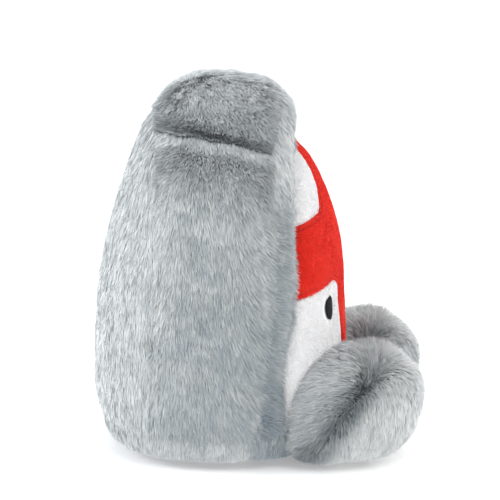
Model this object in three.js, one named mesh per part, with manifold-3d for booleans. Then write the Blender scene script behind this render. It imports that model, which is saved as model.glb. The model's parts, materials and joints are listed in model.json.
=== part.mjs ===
// A sitting stuffed toy in long-pile fur fabric with a short-pile face, as the separate panels it is
// sewn from, its two legs and the stuffing inside. Millimetres, +Z up, the face looks along -Y and the
// toy's own right side is -X. The origin is on the floor, in the middle of the whole toy's footprint.
import * as THREE from 'three';
import { mergeVertices } from 'three/addons/utils/BufferGeometryUtils.js';
import Module from 'manifold-3d';

const wasm = await Module();
wasm.setup();

// Body: a blunt-topped egg on a flat base, widest low down.
const BODY_HEIGHT = 400;
const BODY_WIDTH = 300;
const BODY_DEPTH = 268;
const BELLY_HEIGHT = 110;
const WIDTH_TAPER = 0.56;
const DEPTH_TAPER = 0.6;
const TAPER_POWER = 1.9;
const CROWN_POWER = 24;
const CROWN_ROUND = 2.2;
const BASE_POWER = 4;
const BASE_DROP = 8;
const SECTION_POWER = 2.4;

// The stuffed face swells forward of that egg by this much, around a height and over a reach each way.
const FACE_SWELL = 7;
const SWELL_HEIGHT = 235;
const SWELL_REACH = 100;

// Toy: the legs reach forward of the body by this much in all.
const OVERALL_DEPTH = 345;
const REST_Y = OVERALL_DEPTH / 2 - BODY_DEPTH / 2;

// Fabric: backing and lying pile together, and the gap between sewn pieces.
const FUR_THICKNESS = 12;
const FACE_THICKNESS = 5;
const SEAM_GAP = 0.3;
const FILL_GAP = 1.5;

// Seams, as distances from the body's own middle plane, drops from the crown or heights above the
// floor. The upright ones slant back below the height where their sweep starts, each by its own amount.
const BACK_SEAM = 68;
const FRONT_SEAM = -55;
const FACE_RIM = -82;
const SWEEP_START = 220;
const BACK_SWEEP = 16;
const FRONT_SWEEP = 24;
const RIM_SWEEP = 18;
const CREASE_DROP = 57;
const CREASE_TILT = 9;
const BROW_DROP = 120;
const BASE_SEAM_HEIGHT = 36;

// Face: a red upright blaze crossed by a red band, with four white patches and two sewn eyes.
const BAND_LOW = 188;
const BAND_HIGH = 253;
const BAND_SLOPE = 0.15;
const BLAZE_TOP_HALF = 24;
const BLAZE_BROW_HALF = 66;
const BLAZE_CHIN_HALF = 50;
const CHEEK_CORNER = 22;
const CHEEK_CORNER_TALL = 31;
const BROW_CURVE = 10;
const BROW_BEND_RISE = 25;
const BROW_RISE = 70;
const EYE_HEIGHT = 162;
const EYE_SPACING = 166;
const EYE_WIDTH = 16;
const EYE_TALL = 26;
const EYE_SUNK = 0.6;
const EYE_THICKNESS = 1.6;

// Legs: fat rounded tubes that point forward, each with a tilted sole cap.
const LEG_WIDTH = 132;
const LEG_HEIGHT = 122;
const LEG_LENGTH = 170;
const LEG_GAP = 16;
const LEG_POWER = 2.6;
const LEG_DROP = 3;
const LEG_CLEARANCE = 1.2;
const SOLE_TILT = 35;
const SOLE_AHEAD = 2;

// Weight bag: a flat cushion of pellets on the base panel, in a pocket of the stuffing.
const BAG_WIDTH = 150;
const BAG_DEPTH = 120;
const BAG_HEIGHT = 34;

// Facets around and up each shape.
const SKIN_SEGMENTS = [40, 28];
const FILL_SEGMENTS = [28, 20];
const LEG_SEGMENTS = [26, 18];
const LEG_FILL_SEGMENTS = [18, 12];
const BAG_SEGMENTS = [24, 12];
const FAR = 600;

const material = (color, roughness) => new THREE.MeshStandardMaterial({ color, roughness, metalness: 0 });
const greyFur = material(0x9fa5a9, 0.95);
const darkFur = material(0x868d93, 0.95);
const redPlush = material(0xe52f24, 0.85);
const whitePlush = material(0xeeeeef, 0.85);
const blackThread = material(0x141416, 0.6);
const fibre = material(0xf2f2ee, 0.95);
const bagCloth = material(0xdcd8cf, 0.9);

// A closed geometry as a solid that can be joined and cut.
function solidOf(geometry) {
  const bare = new THREE.BufferGeometry();
  bare.setAttribute('position', geometry.getAttribute('position'));
  if (geometry.index) bare.setIndex(geometry.index);
  const merged = mergeVertices(bare, 1e-4);
  return new wasm.Manifold(new wasm.Mesh({
    numProp: 3,
    vertProperties: new Float32Array(merged.getAttribute('position').array),
    triVerts: new Uint32Array(merged.index.array),
  }));
}

// A solid back as a named sub-part.
function part(name, solid, itsMaterial) {
  const { vertProperties, triVerts } = solid.getMesh();
  const geometry = new THREE.BufferGeometry();
  geometry.setAttribute('position', new THREE.BufferAttribute(vertProperties, 3));
  geometry.setIndex(new THREE.BufferAttribute(triVerts, 1));
  geometry.computeVertexNormals();
  const mesh = new THREE.Mesh(geometry, itsMaterial);
  mesh.name = name;
  return mesh;
}

// A sphere whose points are each moved by place(direction).
function moulded([around, up], place) {
  const geometry = new THREE.SphereGeometry(1, around, up).rotateX(Math.PI / 2);
  const position = geometry.getAttribute('position');
  const direction = new THREE.Vector3();
  for (let i = 0; i < position.count; i += 1) {
    direction.fromBufferAttribute(position, i);
    const { x, y, z } = place(direction);
    position.setXYZ(i, x, y, z);
  }
  return solidOf(geometry);
}

// The space between two corners, given as {x: [low, high], y: ..., z: ...}; a missing side is open.
function block({ x = [-FAR, FAR], y = [-FAR, FAR], z = [-FAR, FAR] }) {
  const box = new THREE.BoxGeometry(x[1] - x[0], y[1] - y[0], z[1] - z[0]);
  box.translate((x[0] + x[1]) / 2, (y[0] + y[1]) / 2, (z[0] + z[1]) / 2);
  return solidOf(box);
}

// A front outline, drawn with x across and y up, carried forward from the body's middle.
function frontCutter(outline) {
  const geometry = new THREE.ExtrudeGeometry(outline, { depth: FAR, bevelEnabled: false, curveSegments: 6 });
  geometry.rotateX(Math.PI / 2);
  return solidOf(geometry);
}

// The line of an upright seam in the side view, from under the floor to over the head.
function seamLine([y, sweep], gap) {
  const line = new THREE.Path();
  const low = REST_Y + y + sweep + gap;
  const high = REST_Y + y + gap;
  line.moveTo(low, -FAR);
  line.lineTo(low, 0);
  line.lineTo(high, SWEEP_START);
  line.lineTo(high, FAR);
  return line.getPoints();
}

// The space between two upright seams, from side to side of the body.
function between(front, back) {
  const frontLine = seamLine(front, SEAM_GAP / 2);
  const backLine = seamLine(back, -SEAM_GAP / 2);
  const outline = new THREE.Shape([...frontLine, ...backLine.reverse()]);
  const geometry = new THREE.ExtrudeGeometry(outline, { depth: FAR, bevelEnabled: false });
  geometry.translate(0, 0, -FAR / 2);
  const [x, y, z] = [0, 1, 2].map((axis) => new THREE.Vector3().setComponent(axis, 1));
  geometry.applyMatrix4(new THREE.Matrix4().makeBasis(y, z, x));
  return solidOf(geometry);
}

// How far a direction reaches on a rounded box: 1 along an axis and more towards the corners, where a
// higher power is squarer.
function squareness(power, ...direction) {
  return direction.reduce((sum, along) => sum + Math.abs(along) ** power, 0) ** (-1 / power);
}

// The share of its full half size that the body has at a height: an even taper above the belly that
// ends in a rounded crown, and a rounded foot below it.
function share(z, top, bottom, taper) {
  if (z >= BELLY_HEIGHT) {
    const rise = Math.min((z - BELLY_HEIGHT) / (top - BELLY_HEIGHT), 1);
    return (1 - taper * rise ** TAPER_POWER) * (1 - rise ** CROWN_POWER) ** (1 / CROWN_ROUND);
  }
  const drop = Math.min((BELLY_HEIGHT - z) / (BELLY_HEIGHT - bottom), 1);
  return (1 - drop ** BASE_POWER) ** (1 / BASE_POWER);
}

// The share of the face's swelling at a height, smooth and nothing past its reach.
function swellShare(z) {
  const away = Math.min(Math.abs(z - SWELL_HEIGHT) / SWELL_REACH, 1);
  return (1 - away ** 2) ** 2;
}

// The body's solid, grown outwards by an amount or, with a negative one, drawn in. Its sections are
// rounded boxes, and its underside is flat.
function body(grow, segments = SKIN_SEGMENTS) {
  const top = BODY_HEIGHT + grow;
  const bottom = -BASE_DROP - grow;
  const shape = moulded(segments, (direction) => {
    const z = bottom + (top - bottom) * (1 + direction.z) / 2;
    const turn = Math.atan2(direction.y, direction.x);
    const across = Math.cos(turn);
    const along = Math.sin(turn);
    const reach = squareness(SECTION_POWER, across, along);
    const pole = 1 - Math.abs(direction.z) < 1e-6;
    const halfWidth = pole ? 0 : (BODY_WIDTH / 2 + grow) * share(z, top, bottom, WIDTH_TAPER);
    const halfDepth = pole ? 0 : (BODY_DEPTH / 2 + grow) * share(z, top, bottom, DEPTH_TAPER);
    const swell = FACE_SWELL * swellShare(z) * Math.max(-along, 0) ** 2;
    return { x: halfWidth * across * reach, y: REST_Y + halfDepth * along * reach - swell, z };
  });
  return shape.intersect(block({ z: [-grow, FAR] }));
}

const outer = body(0);
const furInside = body(-FUR_THICKNESS);
const faceInside = body(-FACE_THICKNESS);
const furShell = outer.subtract(furInside);
const faceShell = outer.subtract(faceInside);

// The seams from front to back, and spans of height and side drawn in by half the seam gap.
const frontEnd = [-FAR / 2, 0];
const rimSeam = [FACE_RIM, RIM_SWEEP];
const frontSeam = [FRONT_SEAM, FRONT_SWEEP];
const backSeam = [BACK_SEAM, BACK_SWEEP];
const backEnd = [FAR / 2, 0];
const span = (low, high) => [low + SEAM_GAP / 2, high - SEAM_GAP / 2];
const above = (low) => span(low, FAR);
const below = (high) => span(-FAR, high);
const sides = [['right', below(0), -1], ['left', above(0), 1]];

// The space above the tilted crease, or under it.
function creaseSpace(upper) {
  const box = new THREE.BoxGeometry(FAR, FAR, FAR);
  box.translate(0, 0, upper ? (FAR + SEAM_GAP) / 2 : -(FAR + SEAM_GAP) / 2);
  box.rotateX(THREE.MathUtils.degToRad(CREASE_TILT));
  box.translate(0, REST_Y, BODY_HEIGHT - CREASE_DROP);
  return solidOf(box);
}

// Half of the red marking's outline, from the floor up: a straight chin, a rounded corner under the
// band, the band out to the side and back, and the blaze that narrows towards the crown.
function redOutline(grow) {
  const chin = BLAZE_CHIN_HALF + grow;
  const low = BAND_LOW - grow;
  const high = BAND_HIGH + grow;
  const half = new THREE.Path();
  half.moveTo(chin, 0);
  half.lineTo(chin, low - CHEEK_CORNER_TALL);
  half.quadraticCurveTo(chin, low, chin + CHEEK_CORNER, low);
  half.lineTo(FAR, low - BAND_SLOPE * (FAR - chin - CHEEK_CORNER));
  half.lineTo(FAR, high);
  half.lineTo(BLAZE_BROW_HALF + grow, high);
  half.quadraticCurveTo(
    BLAZE_TOP_HALF + BROW_CURVE + grow, high + BROW_BEND_RISE,
    BLAZE_TOP_HALF + grow, high + BROW_RISE,
  );
  half.lineTo(BLAZE_TOP_HALF + grow, BODY_HEIGHT + FAR / 2);
  const points = half.getPoints(6);
  const mirrored = points.map(({ x, y }) => new THREE.Vector2(-x, y)).reverse();
  return new THREE.Shape([...points, ...mirrored]);
}

function eyeOutline(sign, grow) {
  const outline = new THREE.Shape();
  outline.absellipse(sign * EYE_SPACING / 2, EYE_HEIGHT, EYE_WIDTH / 2 + grow, EYE_TALL / 2 + grow);
  return outline;
}

function furPanels() {
  const upright = furShell.intersect(block({ z: above(BASE_SEAM_HEIGHT) }));
  const border = upright.intersect(between(rimSeam, frontSeam));
  const gusset = upright.intersect(between(frontSeam, backSeam));
  const panels = [
    part('base_panel', furShell.intersect(block({ z: below(BASE_SEAM_HEIGHT) })), greyFur),
    part('back_panel', upright.intersect(between(backSeam, backEnd)), greyFur),
    part('top_gusset', gusset.intersect(creaseSpace(true)), darkFur),
    part('brow_panel', border.intersect(block({ z: above(BODY_HEIGHT - BROW_DROP) })), greyFur),
  ];
  const sideGusset = gusset.intersect(creaseSpace(false));
  for (const [side, x] of sides) {
    const lowBorder = border.intersect(block({ x, z: below(BODY_HEIGHT - BROW_DROP) }));
    panels.push(part(`side_gusset_${side}`, sideGusset.intersect(block({ x })), greyFur));
    panels.push(part(`front_border_${side}`, lowBorder, darkFur));
  }
  return panels;
}

function facePanels() {
  const upright = faceShell.intersect(block({ z: above(BASE_SEAM_HEIGHT) }));
  const face = upright.intersect(between(frontEnd, rimSeam));
  const panels = [part('red_blaze', face.intersect(frontCutter(redOutline(-SEAM_GAP / 2))), redPlush)];
  const white = face.subtract(frontCutter(redOutline(SEAM_GAP / 2)));
  const bandMiddle = (BAND_LOW + BAND_HIGH) / 2;
  const eyeSheet = body(-EYE_SUNK).subtract(body(-EYE_SUNK - EYE_THICKNESS));
  const eyePocket = body(SEAM_GAP).subtract(body(-EYE_SUNK - EYE_THICKNESS - SEAM_GAP));
  for (const [side, x, sign] of sides) {
    const cheek = white.intersect(block({ x, z: below(bandMiddle) }));
    const pocket = eyePocket.intersect(frontCutter(eyeOutline(sign, SEAM_GAP)));
    panels.push(part(`white_upper_${side}`, white.intersect(block({ x, z: above(bandMiddle) })), whitePlush));
    panels.push(part(`white_cheek_${side}`, cheek.subtract(pocket), whitePlush));
    panels.push(part(`eye_${side}`, eyeSheet.intersect(frontCutter(eyeOutline(sign, 0))), blackThread));
  }
  return panels;
}

// A leg's rounded block, grown by an amount, kept off the body by a clearance and flat underneath.
const LEG_X = (LEG_WIDTH + LEG_GAP) / 2;
const LEG_Y = (LEG_LENGTH - OVERALL_DEPTH) / 2;
const LEG_Z = (LEG_HEIGHT - LEG_DROP) / 2;

function legBlock(sign, grow, segments) {
  const half = new THREE.Vector3(
    LEG_WIDTH / 2 + grow,
    LEG_LENGTH / 2 + grow,
    (LEG_HEIGHT + LEG_DROP) / 2 + grow,
  );
  const centre = new THREE.Vector3(sign * LEG_X, LEG_Y, LEG_Z);
  const solid = moulded(segments, ({ x, y, z }) => {
    const reach = squareness(LEG_POWER, x, y, z);
    return new THREE.Vector3(x, y, z).multiplyScalar(reach).multiply(half).add(centre);
  });
  return solid.intersect(block({ z: [-grow, FAR] })).subtract(body(LEG_CLEARANCE - grow));
}

// The space ahead of the tilted sole seam, or behind it.
function soleSpace(ahead) {
  const inner = SOLE_AHEAD + (ahead ? SEAM_GAP / 2 : -SEAM_GAP / 2);
  const box = new THREE.BoxGeometry(FAR, FAR, FAR);
  box.translate(0, ahead ? -inner - FAR / 2 : -inner + FAR / 2, 0);
  box.rotateX(THREE.MathUtils.degToRad(SOLE_TILT));
  box.translate(0, LEG_Y, LEG_Z);
  return solidOf(box);
}

function legPieces() {
  const pieces = [];
  for (const [side, , sign] of sides) {
    const skin = legBlock(sign, 0, LEG_SEGMENTS).subtract(legBlock(sign, -FUR_THICKNESS, LEG_SEGMENTS));
    const filling = legBlock(sign, -FUR_THICKNESS - FILL_GAP, LEG_FILL_SEGMENTS);
    pieces.push(part(`leg_tube_${side}`, skin.intersect(soleSpace(false)), greyFur));
    pieces.push(part(`sole_cap_${side}`, skin.intersect(soleSpace(true)), greyFur));
    pieces.push(part(`leg_filling_${side}`, filling, fibre));
  }
  return pieces;
}

// The pellet bag's low dome, grown by an amount, standing on the inside of the base panel.
function bagDome(grow) {
  const floor = FUR_THICKNESS + SEAM_GAP;
  const dome = moulded(BAG_SEGMENTS, ({ x, y, z }) => new THREE.Vector3(
    x * (BAG_WIDTH / 2 + grow),
    REST_Y + y * (BAG_DEPTH / 2 + grow),
    floor + z * (BAG_HEIGHT + grow),
  ));
  return dome.intersect(block({ z: [floor - grow, FAR] }));
}

function stuffing() {
  const behindFace = between(frontEnd, [FACE_RIM - FILL_GAP, RIM_SWEEP])
    .intersect(block({ z: above(BASE_SEAM_HEIGHT + FILL_GAP) }));
  const filling = body(-FUR_THICKNESS - FILL_GAP, FILL_SEGMENTS)
    .add(body(-FACE_THICKNESS - FILL_GAP, FILL_SEGMENTS).intersect(behindFace))
    .subtract(bagDome(FILL_GAP));
  return [part('body_filling', filling, fibre), part('pellet_bag', bagDome(0), bagCloth)];
}

const toy = new THREE.Group();
toy.add(...furPanels(), ...facePanels(), ...legPieces(), ...stuffing());
export default toy;
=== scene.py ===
"""A sitting stuffed toy in long-pile fur fabric: skins blown up as cloth, pile grown as blades, a short-pile
face with stitched edges, sewn eyes, two fat legs, and the stuffing inside."""

import functools
import json
import math

import bpy
import numpy as np
from bpy.props import FloatProperty, FloatVectorProperty, IntProperty, PointerProperty
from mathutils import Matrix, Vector


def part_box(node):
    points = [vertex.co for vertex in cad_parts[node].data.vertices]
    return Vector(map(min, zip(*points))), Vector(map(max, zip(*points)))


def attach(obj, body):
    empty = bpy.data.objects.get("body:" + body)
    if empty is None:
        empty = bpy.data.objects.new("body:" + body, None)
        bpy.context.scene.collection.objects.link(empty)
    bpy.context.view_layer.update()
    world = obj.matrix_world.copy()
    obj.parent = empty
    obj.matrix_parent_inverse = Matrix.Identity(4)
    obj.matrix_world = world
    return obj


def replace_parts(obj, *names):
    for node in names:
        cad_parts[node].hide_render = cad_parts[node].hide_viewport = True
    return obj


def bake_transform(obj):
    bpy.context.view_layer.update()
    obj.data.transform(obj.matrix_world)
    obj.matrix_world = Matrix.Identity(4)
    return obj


bl_info = {
    "name": "Stuffed Toy",
    "version": (1, 0, 0),
    "blender": (4, 5, 0),
    "location": "View3D > Sidebar > Toy",
    "description": "Builds a sitting fur-fabric toy around its packed frame",
    "category": "Object",
}

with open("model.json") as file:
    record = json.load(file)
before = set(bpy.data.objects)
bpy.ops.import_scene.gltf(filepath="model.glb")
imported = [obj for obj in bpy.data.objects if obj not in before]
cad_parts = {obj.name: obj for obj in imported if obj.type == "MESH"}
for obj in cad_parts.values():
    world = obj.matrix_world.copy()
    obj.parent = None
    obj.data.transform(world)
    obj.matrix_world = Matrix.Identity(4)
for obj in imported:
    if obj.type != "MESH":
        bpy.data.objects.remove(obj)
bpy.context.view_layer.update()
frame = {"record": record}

# Places taken from the frame: the body's box, its middle plane, and each leg's box.
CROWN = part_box("top_gusset")[1].z
BODY_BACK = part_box("back_panel")[1].y
BODY_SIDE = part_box("side_gusset_left")[1].x
REST_Y = frame["record"]["mounts"][0]["pos_m"][1]
LEG_LOW = [min(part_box(n)[0][i] for n in ("leg_tube_left", "sole_cap_left")) for i in range(3)]
LEG_HIGH = [max(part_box(n)[1][i] for n in ("leg_tube_left", "sole_cap_left")) for i in range(3)]
SIDES = (("right", -1), ("left", 1))

# Rows and columns of the skins that are blown up as cloth, and of the pellet bag.
BODY_GRID = (84, 144)
LEG_GRID = (48, 64)
BAG_GRID = (50, 96)

# The cloth simulation: its frames, the room left for the swelling, and the furthest that a point may move.
CLOTH_FRAMES = 20
SWELL_ROOM = 0.003
BODY_MOVE = 0.009
LEG_MOVE = 0.006

# How hard each seam pulls the skin in, as a share of the seam depth.
SEAM_PULL = {"crease": 0.6, "brow": 0.3, "back": 0.35, "base": 0.35, "front": 0.25}

# The rim's bay beside the cheek, and the pulled stitch's half width and half height.
BAY_HEIGHT = 0.105
BAY_REACH = 0.042
GATHER_WIDE = 0.006
GATHER_TALL = 0.011

# The brow's filling: how far under the crown it is fullest, and how far it fades.
BROW_FULL_DROP = 0.030
BROW_FULL_REACH = 0.028

# Past the rim on both sides, where the red band's outlines may end.
OUTLINE_END = 0.130

# The leg's toe: how far it reaches back, how high its rounding goes, and how far its top is pushed ahead.
TOE_REACH = 0.070
TOE_HEIGHT = 0.080
TOE_PUSH = 0.006

# How far a lock may stand over its seam: in slow waves of a length, and each by itself.
WAVE_LENGTH = 0.008
SEAM_WAVE = 0.0020
SEAM_MIX = 0.0040

# The pile: the least height of a lock, the height under which it is thinned, how near the belly a leg grows
# none, the locks from which a panel is made in two pieces, half of a lock's width in its map, and the square
# millimetres in a square metre.
FLOOR_ROOM = 0.0004
UNDERSIDE = 0.006
BELLY_ROOM = 0.004
PIECE_ROOTS = 97000
MAP_WIDTH = 0.006
SQUARE_MM = 1e6

# Thicknesses of the fur's backing, the face's plush and the eye's thread, and how near points are joined.
BACKING = 0.0012
PLUSH = 0.0014
EYE_THREAD = 0.0012
WELD = 1e-5

# The short nap: its lock's width, tuft, pull to the tuft, lean, and how far round an eye it keeps off.
NAP_WIDTH = 0.0006
NAP_TUFT = 0.0024
NAP_PULL = 0.25
NAP_LEAN = math.radians(48)
EYE_MARGIN = 1.02

# The fillings' depth under the skins, and the room round the pellet bag.
BODY_FILL_DEPTH = 0.0048
LEG_FILL_DEPTH = 0.0062
BAG_ROOM = 0.002

# Half of the floor's side, and each light's name, place, power, size and tint.
FLOOR_HALF = 6.0
LIGHTS = (
    ("key_light", (-2.2, -1.3, 2.4), 32, 1.8, (1.0, 0.985, 0.96)),
    ("back_light", (-0.6, 2.6, 1.5), 48, 1.4, (0.93, 0.97, 1.0)),
    ("front_light", (0.4, -2.6, 1.3), 26, 1.4, (1.0, 1.0, 1.0)),
    ("top_light", (0.2, 0.3, 3.0), 23, 2.0, (0.96, 0.98, 1.0)),
)


class ToyBodySizes(bpy.types.PropertyGroup):
    """The body's egg and where its seams run."""

    height: FloatProperty(
        name="Height", description="Floor to crown, over the pile", default=CROWN, unit="LENGTH")
    half_width: FloatProperty(
        name="Half width", description="Middle to side at the belly", default=BODY_SIDE, unit="LENGTH")
    half_depth: FloatProperty(
        name="Half depth", description="Middle to back at the belly", default=BODY_BACK - REST_Y,
        unit="LENGTH")
    belly: FloatProperty(
        name="Belly height", description="Height of the widest section", default=0.110, unit="LENGTH")
    width_taper: FloatProperty(
        name="Width taper", description="Share of the width lost at the crown", default=0.56)
    depth_taper: FloatProperty(
        name="Depth taper", description="Share of the depth lost at the crown", default=0.60)
    taper_power: FloatProperty(
        name="Taper power", description="How late the taper comes", default=1.9)
    crown_power: FloatProperty(
        name="Crown power", description="How late the crown closes", default=24.0)
    crown_round: FloatProperty(
        name="Crown roundness", description="Power of the crown's shoulder", default=2.2)
    base_power: FloatProperty(
        name="Base power", description="Power of the rounded foot", default=4.0)
    base_drop: FloatProperty(
        name="Base drop", description="How far the egg would reach under the floor", default=0.008,
        unit="LENGTH")
    section_power: FloatProperty(
        name="Section power", description="Squareness of the level sections", default=2.4)
    swell: FloatProperty(
        name="Face swell", description="How far the stuffed face stands forward", default=0.007,
        unit="LENGTH")
    swell_height: FloatProperty(
        name="Swell height", description="Height of the face's swelling", default=0.235, unit="LENGTH")
    swell_reach: FloatProperty(
        name="Swell reach", description="How far it fades up and down", default=0.100, unit="LENGTH")
    crown_slope: FloatProperty(
        name="Crown slope", description="How much lower the crown is at its front", default=0.003,
        unit="LENGTH")
    back_seam: FloatProperty(
        name="Back seam", description="Back seam behind the middle plane", default=0.068, unit="LENGTH")
    front_seam: FloatProperty(
        name="Front seam", description="Front seam before the middle plane", default=-0.055,
        unit="LENGTH")
    face_rim: FloatProperty(
        name="Face rim", description="Face rim before the middle plane", default=-0.082, unit="LENGTH")
    sweep_start: FloatProperty(
        name="Sweep start", description="Height under which the seams slant back", default=0.220,
        unit="LENGTH")
    back_sweep: FloatProperty(
        name="Back sweep", description="Back seam's slant at the floor", default=0.016, unit="LENGTH")
    brow_fill: FloatProperty(
        name="Brow fill", description="How far the stuffing pushes the brow out", default=0.007,
        unit="LENGTH")
    rim_bay: FloatProperty(
        name="Rim bay", description="How far the rim runs back beside the cheek", default=0.007,
        unit="LENGTH")
    front_sweep: FloatProperty(
        name="Front sweep", description="Front seam's slant at the floor", default=0.024, unit="LENGTH")
    rim_sweep: FloatProperty(
        name="Rim sweep", description="Face rim's slant at the floor", default=0.018, unit="LENGTH")
    crease_drop: FloatProperty(
        name="Crease drop", description="Crown to the crease seam", default=0.057, unit="LENGTH")
    crease_tilt: FloatProperty(
        name="Crease tilt", description="Crease seam's rise to the back", default=math.radians(9),
        subtype="ANGLE")
    crease_arch: FloatProperty(
        name="Crease arch", description="How much higher the crease runs in its middle", default=0.007,
        unit="LENGTH")
    brow_drop: FloatProperty(
        name="Brow drop", description="Crown to the brow panel's lower edge", default=0.120,
        unit="LENGTH")
    base_seam: FloatProperty(
        name="Base seam", description="Height of the base panel's edge", default=0.036, unit="LENGTH")
    gather_height: FloatProperty(
        name="Gather height", description="Height of the pulled stitch on the right back seam",
        default=0.136, unit="LENGTH")
    gather_depth: FloatProperty(
        name="Gather depth", description="How deep that stitch pulls", default=0.007, unit="LENGTH")
    seam_depth: FloatProperty(
        name="Seam depth", description="How deep the seams pull in", default=0.006, unit="LENGTH")
    seam_reach: FloatProperty(
        name="Seam reach", description="How far from a seam the skin dips", default=0.011,
        unit="LENGTH")


class ToyLegSizes(bpy.types.PropertyGroup):
    """The legs' rounded blocks and their tilted sole seam."""

    power: FloatProperty(name="Power", description="Squareness of the leg's block", default=2.6)
    length: FloatProperty(
        name="Length", description="Length of the block, its hidden rear end included", default=0.170,
        unit="LENGTH")
    drop: FloatProperty(
        name="Drop", description="How far the block would reach under the floor", default=0.003,
        unit="LENGTH")
    clearance: FloatProperty(
        name="Clearance", description="Room between leg and body", default=0.0012, unit="LENGTH")
    toe_round: FloatProperty(
        name="Toe rounding", description="How far the sole is drawn back at the floor", default=0.014,
        unit="LENGTH")
    sole_tilt: FloatProperty(
        name="Sole tilt", description="Lean of the sole seam", default=math.radians(35),
        subtype="ANGLE")
    sole_ahead: FloatProperty(
        name="Sole ahead", description="Sole seam ahead of the leg's middle", default=0.002,
        unit="LENGTH")


class ToyPile(bpy.types.PropertyGroup):
    """The long pile of the fur fabric."""

    root_depth: FloatProperty(
        name="Root depth", description="Backing under the outer surface", default=0.0055, unit="LENGTH")
    length: FloatProperty(name="Length", description="Pile length", default=0.0150, unit="LENGTH")
    width: FloatProperty(name="Width", description="Width of one lock", default=0.00078, unit="LENGTH")
    density: FloatProperty(name="Density", description="Locks to a square millimetre", default=2.0)
    under_share: FloatProperty(
        name="Underside share", description="Share of the locks kept where the toy rests", default=0.4)
    tuft: FloatProperty(name="Tuft", description="Width of a tuft", default=0.0024, unit="LENGTH")
    seed: IntProperty(name="Seed", description="Seed of the random draws", default=11)
    dark: FloatVectorProperty(
        name="Dark tone", description="Darkest locks", default=(0.285, 0.375, 0.435), subtype="COLOR")
    mid: FloatVectorProperty(
        name="Middle tone", description="Most locks", default=(0.48, 0.51, 0.525), subtype="COLOR")
    light: FloatVectorProperty(
        name="Light tone", description="Lightest locks", default=(0.86, 0.875, 0.87), subtype="COLOR")


class ToyFace(bpy.types.PropertyGroup):
    """The short-pile face, its red marking and its eyes."""

    root_depth: FloatProperty(
        name="Root depth", description="Backing under the outer surface", default=0.003, unit="LENGTH")
    band_low: FloatProperty(
        name="Band low edge", description="Height at the blaze", default=0.191, unit="LENGTH")
    band_high: FloatProperty(
        name="Band high edge", description="Height of the band's top at the blaze", default=0.264,
        unit="LENGTH")
    band_slope: FloatProperty(
        name="Band slope", description="Fall of the low edge to the side", default=0.20)
    top_slope: FloatProperty(
        name="Band top slope", description="Fall of the band's top to the side", default=0.20)
    eye_height: FloatProperty(
        name="Eye height", description="Height of the eyes' middle", default=0.162, unit="LENGTH")
    eye_across: FloatProperty(
        name="Eye place", description="Eye's middle from the toy's middle", default=0.079, unit="LENGTH")
    eye_wide: FloatProperty(
        name="Eye half width", description="Half width of the oval", default=0.008, unit="LENGTH")
    eye_tall: FloatProperty(
        name="Eye half height", description="Half height of the oval", default=0.013, unit="LENGTH")
    eye_dent: FloatProperty(
        name="Eye dent", description="How deep the thread pulls the cheek in", default=0.0035,
        unit="LENGTH")
    eye_reach: FloatProperty(
        name="Eye dent's reach", description="How far that dent spreads", default=0.020, unit="LENGTH")
    stitch_in: FloatProperty(
        name="Stitch line", description="Top stitching in from the red's edge", default=0.0045,
        unit="LENGTH")
    stitch: FloatProperty(name="Stitch", description="Length of one stitch", default=0.0026, unit="LENGTH")
    stitch_pitch: FloatProperty(
        name="Stitch pitch", description="From one stitch to the next", default=0.0036, unit="LENGTH")
    nap_density: FloatProperty(
        name="Nap density", description="Short locks to a square millimetre", default=2.4)
    nap: FloatProperty(name="Nap", description="Length of the short pile", default=0.0022, unit="LENGTH")
    top_half: FloatProperty(
        name="Blaze top", description="Half width at the crown", default=0.017, unit="LENGTH")
    brow_half: FloatProperty(
        name="Blaze brow", description="Half width over the band", default=0.060, unit="LENGTH")
    chin_half: FloatProperty(
        name="Blaze chin", description="Half width at the chin", default=0.047, unit="LENGTH")
    corner: FloatProperty(
        name="Cheek corner", description="Width of the corner under the band", default=0.022,
        unit="LENGTH")
    corner_tall: FloatProperty(
        name="Cheek corner height", description="Height of that corner", default=0.031, unit="LENGTH")
    brow_curve: FloatProperty(
        name="Brow curve", description="How far the blaze's foot swings out", default=0.010,
        unit="LENGTH")
    brow_bend: FloatProperty(
        name="Brow bend", description="Height of that swing", default=0.025, unit="LENGTH")
    brow_rise: FloatProperty(
        name="Brow rise", description="Height over which the blaze narrows", default=0.066,
        unit="LENGTH")
    red: FloatVectorProperty(
        name="Red", description="Red plush", default=(0.90, 0.030, 0.012), subtype="COLOR")
    white: FloatVectorProperty(
        name="White", description="White plush", default=(0.95, 0.945, 0.95), subtype="COLOR")
    thread: FloatVectorProperty(
        name="Thread", description="Eye thread", default=(0.006, 0.006, 0.007), subtype="COLOR")


class ToyStage(bpy.types.PropertyGroup):
    """Camera and light."""

    azimuth: FloatProperty(
        name="Azimuth", description="Round the toy, 0 looks along +Y", default=math.radians(-89.9),
        subtype="ANGLE")
    elevation: FloatProperty(
        name="Elevation", description="Above the horizon", default=math.radians(13.3), subtype="ANGLE")
    distance: FloatProperty(
        name="Distance", description="Camera to aim", default=5.0, unit="LENGTH")
    lens: FloatProperty(name="Lens", description="Focal length in mm", default=340.8)
    aim: FloatVectorProperty(
        name="Aim", description="Point in the middle of the picture", default=(0.0, 0.0074, 0.2075),
        subtype="XYZ")
    ambient: FloatProperty(name="Ambient", description="Strength of the even light", default=0.62)


# ---------------------------------------------------------------- meshes and grids

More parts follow.
